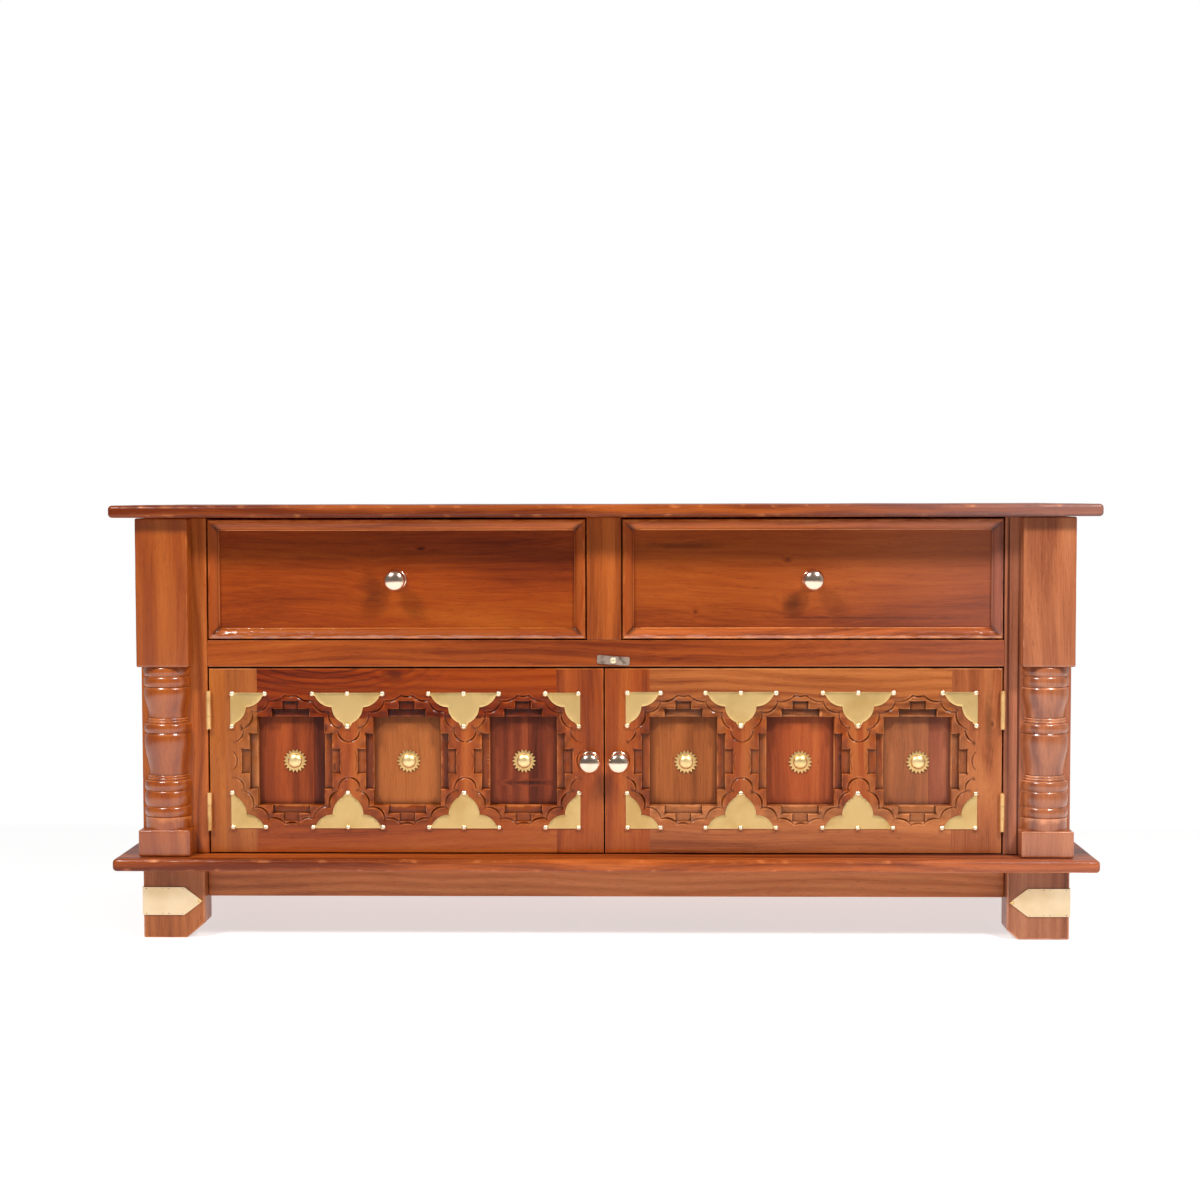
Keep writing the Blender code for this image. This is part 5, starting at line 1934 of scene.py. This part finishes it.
    def build_panel(self) -> None:
        """Draw the panel board, stave by stave."""
        node = f"{self.name}_panel"
        low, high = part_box(node)
        draft = Draft()
        finishes = []
        left = low.x
        for number, stave in enumerate(STAVES[self.side]):
            right = min(high.x, self.middle.x + stave.end)
            ends = Vector((left, low.y, low.z)), Vector((right, high.y, high.z))
            draft.rounded_box(
                *ends, self.stave_round, number, self.stave_spacing, self.ripple, self.stave_dent
            )
            finishes.append(stave.finish.material(f"{node}_{number}", (ends[0] + ends[1]) / 2))
            left = right
        # Painted shade near the edges of each opening, and a painted shadow below its top edge.
        stain = draft.mark("stain")
        for point in [point for point in draft.shape.verts if point.co.y < (low.y + high.y) / 2]:
            across = min(abs(point.co.x - centre) for centre in self.centres)
            inside = min(self.half[0] - across, self.half[1] - abs(point.co.z - self.level))
            below = self.level + self.half[1] - point.co.z
            recess_shade = np.interp(inside, self.panel_run, self.panel_stain)
            shaded = np.interp(below, self.shade_run, self.shade_stain)
            point[stain] = float(max(recess_shade, shaded))
        draft.piece(f"{node}_staved", finishes, self.name, Slot.PANEL, (node,))

    def build_mounts(self) -> None:
        """Draw the scalloped plates and drive their nails."""
        plates = BrassPlate(), BrassPlate(height=0.0478, notch=(0.0195, 0.0174))
        draft = Draft()
        heads = []
        face = self.low.y - self.plate_gap
        seams = [(self.centres[0] + self.centres[1]) / 2, (self.centres[1] + self.centres[2]) / 2]
        ends = [(self.low.x + self.plate_insets[0], 1), (self.high.x - self.plate_insets[1], -1)]
        sheet = Ripple(f"{self.name}_plates", self.sheet_wavelength)
        near, far, beside_tip = self.corner_insets
        for rise, up, plate in zip(self.plate_rows, (-1, 1), plates):
            level = self.middle.z + rise
            inward = level + up * self.nail_rise
            tip = level + up * (plate.height - self.tip_inset)
            for x, hand in ends:
                plate.draw(draft, True, Vector((x, face, level)), (hand, up), sheet)
                heads += [(x + hand * near, inward), (x + hand * (plate.reach - far), inward)]
                heads.append((x + hand * beside_tip, tip))
            for x in seams:
                x -= self.seam_slip
                plate.draw(draft, False, Vector((x, face, level)), (1, up), sheet)
                heads += [(x + hand * (plate.reach - self.end_inset), inward) for hand in (-1, 1)]
                heads += [(x, inward), (x, tip)]
        draft.piece(f"{self.name}_plates", [SHEET_BRASS.material()], self.name, Slot.SHEET)
        places = [Vector((x, face - plates[0].thick, z)) for x, z in heads]
        self.nails.drive(
            f"{self.name}_nails", places, self.nail, POLISHED_BRASS, self.name, Slot.POLISHED
        )

    def build(self) -> None:
        """Draw the whole door."""
        self.build_frame()
        self.build_panel()
        self.build_mounts()
        for place, slip in zip(("left", "middle", "right"), self.slips):
            Rosette(f"{self.name}_{place}_rosette", (slip, -self.drop)).build()
        Knob(f"{self.name}_knob").build()


DRAWER_KNOTS = {
    Side.LEFT: (
        Knot((-0.290, -0.151, 0.437), (0.026, 0.03, 0.034), 0.45),
        Knot((-0.2295, -0.151, 0.487), (0.007, 0.03, 0.0035)),
    ),
    Side.RIGHT: (
        Knot((0.229, -0.151, 0.4725), (0.0065, 0.03, 0.0065), 0.6),
        Knot((0.234, -0.151, 0.419), (0.018, 0.03, 0.018), 0.45),
        Knot((0.114, -0.151, 0.4075), (0.0048, 0.03, 0.0048), 0.6),
        Knot((0.335, -0.151, 0.400), (0.19, 0.03, 0.0022), 0.55),
        Knot((0.095, -0.151, 0.490), (0.085, 0.03, 0.0075), 0.5),
    ),
}


@dataclass
class Drawer:
    """A drawer: figured front, mitred moulding, knob and a plain box."""

    side: Side
    width: float = 0.014
    top_grow: float = 1.6 * MM
    worn: float = 0.25 * MM
    wavelength: float = 0.05
    points_along: tuple[int, int] = (40, 16)
    section: tuple[Flat, ...] = (
        (0.00, 0.00), (0.00, 0.62), (0.03, 0.78), (0.08, 0.90), (0.16, 0.97), (0.28, 1.00), (0.42, 0.98),
        (0.55, 0.92), (0.67, 0.82), (0.77, 0.69), (0.84, 0.57), (0.87, 0.49), (0.90, 0.45), (0.95, 0.42),
        (0.99, 0.32), (1.00, 0.00),
    )

    def build(self) -> None:
        """Draw the whole drawer."""
        name = f"{self.side.word}_drawer"
        front = replace(
            RED_WOOD, name="drawer_teak", knots=DRAWER_KNOTS[self.side],
            wear=0.2, ring_share=0.03, spread=8.0, bloom=0.16,
        )
        if self.side is Side.RIGHT:
            front = replace(front, light=Colour(170, 86, 27), middle=Colour(146, 65, 18))
        Board(f"{name}_front", front, Slot.RED, 0.6 * MM, 0.1 * MM).build()
        for hand in ("left", "right"):
            Board(f"{name}_{hand}_side", replace(RAW_WOOD, grain=Grain.DEPTHWISE), Slot.INNER).build()
        Board(f"{name}_back", RAW_WOOD, Slot.INNER).build()
        Board(f"{name}_bottom", replace(RAW_WOOD, plank=0.1), Slot.INNER, 0.6 * MM).build()
        self.build_moulding(f"{name}_moulding", name)
        Knob(f"{name}_knob").build()

    def build_moulding(self, node: str, body: str) -> None:
        """Draw the moulding round the front, mitred at its corners.

        Args:
            node: The moulding's CAD node.
            body: The body that it rides on.
        """
        low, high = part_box(node)
        thick = high.y - low.y
        high.z += self.top_grow
        ripple = Ripple(node, self.wavelength)
        draft = Draft()
        rings = []
        for inset, rise in self.section:
            gap = inset * self.width
            corners = rectangle((low.x + gap, low.z + gap), (high.x - gap, high.z - gap))
            ring = []
            for number, (first, last) in enumerate(zip(corners, corners[1:] + corners[:1])):
                for x, z in along(first, last, math.dist(first, last) / self.points_along[number % 2]):
                    worn = self.worn * float(ripple.over(np.array([(x, z)]))[0]) if rise > 0.3 else 0.0
                    ring.append((draft.shape.verts.new((x, high.y - thick * rise + worn, z)), number))
            rings.append(ring)
        for ring, after in zip(rings, rings[1:] + rings[:1]):
            for step, (point, number) in enumerate(ring):
                following = (step + 1) % len(ring)
                draft.face([point, ring[following][0], after[following][0], after[step][0]], number)
        lower = replace(
            RED_WOOD, wear=0.7, gloss=1.0, polish=0.12, coat_index=1.9, chatter=1.2 * MM
        )
        if self.side is Side.RIGHT:
            lower = replace(lower, light=Colour(206, 116, 52), middle=Colour(180, 88, 34))
        # The upper member's paler colours are painted light: its top face lit more than the drawer front
        # below it.
        upper = replace(
            RED_WOOD, wear=0.5, light=Colour(222, 128, 66), middle=Colour(196, 100, 46), bloom=0.26
        )
        uprights = replace(
            CARVED_WOOD, grain=Grain.UPRIGHT_FRONT, wear=0.5, light=Colour(158, 78, 30), bloom=0.26
        )
        centre = (low + high) / 2
        finishes = [
            wood.material(f"{node}_{number}", centre)
            for number, wood in enumerate((lower, uprights, upper, uprights))
        ]
        draft.piece(f"{node}_mitred", finishes, body, Slot.RED, (node,), 30.0)


@dataclass
class FootStrap:
    """A pointed brass strap bent round the outer corner of a front foot."""

    side: Side
    nails: NailTree
    point: float = 0.023
    thick: float = 0.0010
    bend: float = 0.0016
    nail: Flat = (2.3 * MM, 1.8 * MM)
    nail_inset: float = 3.0 * MM
    pin: Flat = (0.75 * MM, 0.4 * MM)
    pin_inset: float = 1.8 * MM

    def build(self) -> None:
        """Draw the strap and its pins."""
        node = f"{self.side.word}_foot_strap"
        low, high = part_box(node)
        hand = self.side.value
        outer, tip = (high.x, low.x) if hand > 0 else (low.x, high.x)
        middle, half = (low.z + high.z) / 2, (high.z - low.z) / 2
        run = abs(outer - tip)
        path = [(distance, low.y) for distance in np.linspace(0.0, self.point, 6)]
        path += [(distance, low.y) for distance in np.linspace(self.point, run - self.bend, 7)[1:]]
        path += [
            (run - self.bend + self.bend * math.sin(a), low.y + self.bend * (1 - math.cos(a)))
            for a in np.linspace(0.0, math.pi / 2, 6)[1:]
        ]
        path += [(run, y) for y in np.linspace(low.y + self.bend, high.y, 5)[1:]]
        draft = Draft()
        sheets = []
        for inward in (0.0, self.thick):
            rows = []
            for number, (distance, y) in enumerate(path):
                before, after = path[max(0, number - 1)], path[min(len(path) - 1, number + 1)]
                along_path = Vector((after[0] - before[0], after[1] - before[1])).normalized()
                x = distance - inward * along_path.y
                depth = y + inward * along_path.x
                tall = half * min(1.0, 0.02 + distance / self.point)
                rows.append([
                    draft.shape.verts.new((tip + hand * x, depth, middle + tall * share))
                    for share in np.linspace(-1.0, 1.0, 9)
                ])
            sheets.append(rows)
        draft.sheet(*sheets)
        draft.piece(f"{node}_bent", [PALE_BRASS.material()], "carcass", Slot.SHEET, (node,))
        places = [Vector((tip + hand * self.nail_inset, low.y, middle))]
        self.nails.drive(f"{node}_nail", places, self.nail, SHEET_BRASS, "carcass", Slot.SHEET)
        pins = [
            Vector((tip + hand * distance, low.y, middle + level * (half - self.pin_inset)))
            for distance in (self.point + 1.5 * MM, self.point + 19 * MM, self.point + 27 * MM, run - 5 * MM)
            for level in (-1, 1)
        ]
        self.nails.drive(f"{node}_pins", pins, self.pin, AGED_STEEL, "carcass", Slot.SHEET)


@dataclass
class TurnButton:
    """The bowed steel strip that holds the doors shut, on its brass eyelet."""

    length: float = 0.0406
    width: float = 0.0106
    thick: float = 0.0012
    bow: float = 0.0015
    tilt: float = math.radians(4.0)
    grid: tuple[int, int] = (18, 8)

    def build(self) -> None:
        """Draw the strip and the eyelet that it turns on."""
        low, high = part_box("turn_button")
        middle = (low + high) / 2
        draft = Draft()
        rows, columns = self.grid
        sheets = []
        for inward in (self.thick, 0.0):
            sheet = []
            for row in range(rows + 1):
                share = 2 * row / rows - 1
                rise = self.bow * math.cos(math.pi / 2 * share) ** 2 + inward
                trim = 1.0 - 0.10 * max(0.0, abs(share) - 0.9) / 0.1
                line = []
                for column in range(columns + 1):
                    side = 2 * column / columns - 1
                    run = share * self.length / 2 * (1 - 0.02 * abs(side) ** 4)
                    place = Vector((run, 0.0, side * trim * self.width / 2))
                    place.rotate(Euler((0.0, self.tilt, 0.0)))
                    line.append(draft.shape.verts.new(
                        (middle.x + place.x, high.y - rise, middle.z + place.z)
                    ))
                sheet.append(line)
            sheets.append(sheet)
        draft.sheet(*sheets)
        draft.piece("turn_button_bowed", [AGED_STEEL.material()], "turn_button", Slot.STEEL, ("turn_button",))
        self.build_eyelet()

    def build_eyelet(self) -> None:
        """Draw the brass eyelet in the middle of the strip."""
        low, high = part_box("turn_button_screw")
        middle = (low + high) / 2
        reach = high.y - low.y
        crown = reach - 0.9 * MM
        profile = [(0.0, crown - 0.9 * MM), (0.9 * MM, crown - 0.9 * MM), (1.2 * MM, crown)]
        profile += arc_points((2.6 * MM, crown), (1.4 * MM, 0.9 * MM), 180, 0, 10)[1:]
        profile += [(3.9 * MM, crown - 0.8 * MM), (1.6 * MM, crown - 1.1 * MM), (1.6 * MM, 0.0), (0.0, 0.0)]
        place = Matrix.Translation((middle.x, high.y, middle.z)) @ FACE_FRONT
        draft = Draft()
        draft.spun(profile, place, 32)
        finishes = [POLISHED_BRASS.material()]
        draft.piece("turn_button_eyelet", finishes, "carcass", Slot.SHEET, ("turn_button_screw",))


@dataclass
class Hinges:
    """The doors' butt hinges, which keep their CAD shape."""

    metal: MetalFinish = HINGE_BRASS

    def dress(self) -> None:
        """Give every leaf its brass."""
        for name, node in frame["nodes"].items():
            if name.endswith("_leaf"):
                for held in node.material_slots:
                    held.material = self.metal.material()
                LOG.info("%s keeps its shape", name)


@dataclass
class Studio:
    """A pale floor, soft lights and the camera."""

    lens: float = 60.82
    sensor: float = 36.0
    place: Triple = (0.0488, -2.6822, 0.5483)
    pitch: float = 0.0497
    yaw: float = 0.0213
    roll: float = -0.0020
    floor_size: float = 40.0
    light_turn: float = math.radians(40.0)
    light_rise: float = math.radians(43.0)
    light_far: float = 3.2
    light_size: float = 0.5
    powers: Flat = (64.0, 72.0)
    aim: float = 0.3
    room: Flat = (0.45, 0.13)
    dim_side: Triple = (-0.34, -0.93, 0.05)
    dim_range: Flat = (-0.5, 0.6)
    floor_tones: tuple[Colour, Colour] = (Colour(196, 196, 196), Colour(200, 200, 200))
    floor_rough: float = 0.7
    floor_glow: float = 0.6
    floor_fade: Flat = (1.5, 2.8)
    floor_front: float = 0.9

    def build(self) -> None:
        """Set up the floor, the lights and the camera."""
        self.build_floor()
        self.build_world()
        turns = (-self.light_turn, self.light_turn)
        for name, turn, power in zip(("key", "fill"), turns, self.powers):
            self.add_light(name, turn, power)
        camera = bpy.data.cameras.new("camera")
        camera.lens = self.lens
        camera.sensor_width = self.sensor
        holder = bpy.data.objects.new("camera", camera)
        turn = Matrix.Rotation(self.yaw, 4, "Z") @ Matrix.Rotation(math.pi / 2 - self.pitch, 4, "X")
        turn = turn @ Matrix.Rotation(self.roll, 4, "Z")
        holder.matrix_world = Matrix.Translation(self.place) @ turn
        bpy.context.scene.collection.objects.link(holder)
        bpy.context.scene.camera = holder

    def build_world(self) -> None:
        """Surround the case with light, dimmer in front, against a white background."""
        world = bpy.data.worlds.new("studio")
        bpy.context.scene.world = world
        world.use_nodes = True
        sky = Wiring(world.node_tree)
        place = sky.add("ShaderNodeTexCoord", {}).outputs["Generated"]
        inputs = {0: place, 1: Vector(self.dim_side).normalized()}
        facing = sky.add("ShaderNodeVectorMath", inputs, operation="DOT_PRODUCT").outputs["Value"]
        inputs = dict(enumerate((facing, *self.dim_range, *self.room)))
        shade = sky.add("ShaderNodeMapRange", inputs, interpolation_type="SMOOTHSTEP").outputs[0]
        seen = sky.add("ShaderNodeLightPath", {}).outputs["Is Camera Ray"]
        background = sky.tree.nodes["Background"].inputs
        sky.feed(background["Strength"], sky.add("ShaderNodeMix", {0: seen, 2: shade, 3: 1.0}).outputs[0])
        background["Color"].default_value = (1.0, 1.0, 1.0, 1.0)

    def build_floor(self) -> None:
        """Lay the floor."""
        half = self.floor_size / 2
        mesh = bpy.data.meshes.new("floor")
        corners = rectangle((-half, -half), (half, half))
        mesh.from_pydata([(x, y, 0) for x, y in corners], [], [(0, 1, 2, 3)])
        paint = Sketch("floor_paint")
        cloud = paint.noise(paint.place(), 3.0, 3.0)
        colour = paint.mix(cloud, *(tone.linear for tone in self.floor_tones))
        paint.feed(paint.shader.inputs["Base Color"], colour)
        paint.shader.inputs["Roughness"].default_value = self.floor_rough
        paint.shader.inputs["Emission Color"].default_value = (1.0, 1.0, 1.0, 1.0)
        paint.shader.inputs["Emission Strength"].default_value = self.floor_glow
        inputs = {0: paint.place(), 1: (0.0, -self.floor_front, 0.0)}
        far = paint.add("ShaderNodeVectorMath", inputs, operation="DISTANCE").outputs["Value"]
        paint.feed(paint.shader.inputs["Alpha"], paint.share(far, *self.floor_fade, 1.0, 0.0))
        mesh.materials.append(paint.material)
        floor = bpy.data.objects.new("floor", mesh)
        bpy.context.scene.collection.objects.link(floor)

    def add_light(self, name: str, turn: float, power: float) -> None:
        """Hang a soft square light that looks at the middle of the case.

        Args:
            name: The light's name.
            turn: How far round from the front it hangs.
            power: Its power in watts.
        """
        level = self.light_far * math.cos(self.light_rise)
        rise = self.aim + self.light_far * math.sin(self.light_rise)
        place = Vector((level * math.sin(turn), -level * math.cos(turn), rise))
        light = bpy.data.lights.new(name, "AREA")
        light.size = self.light_size
        light.energy = power
        holder = bpy.data.objects.new(name, light)
        holder.location = place
        holder.rotation_euler = (Vector((0.0, 0.0, self.aim)) - place).to_track_quat("-Z", "Y").to_euler()
        bpy.context.scene.collection.objects.link(holder)


def main() -> None:
    """Dress the whole sideboard and set up the studio."""
    logging.basicConfig(level=logging.INFO, format="%(name)s: %(message)s")
    bpy.context.scene.view_settings.view_transform = "Standard"
    nails = NailTree()
    Case().build()
    for side in Side:
        SplitPost(side).build()
        Drawer(side).build()
        FootStrap(side, nails).build()
    CarvedDoor(Side.LEFT, nails, strips=(18.5 * MM,)).build()
    CarvedDoor(
        Side.RIGHT, nails, shift=-2.6 * MM, slips=(1.0 * MM, -1.7 * MM, -0.4 * MM), drop=3.0 * MM,
        plate_rows=(0.0863, -0.0855), plate_insets=(0.0259, 0.0290),
    ).build()
    TurnButton().build()
    Hinges().dress()
    Studio().build()


if __name__ == "__main__":
    main()
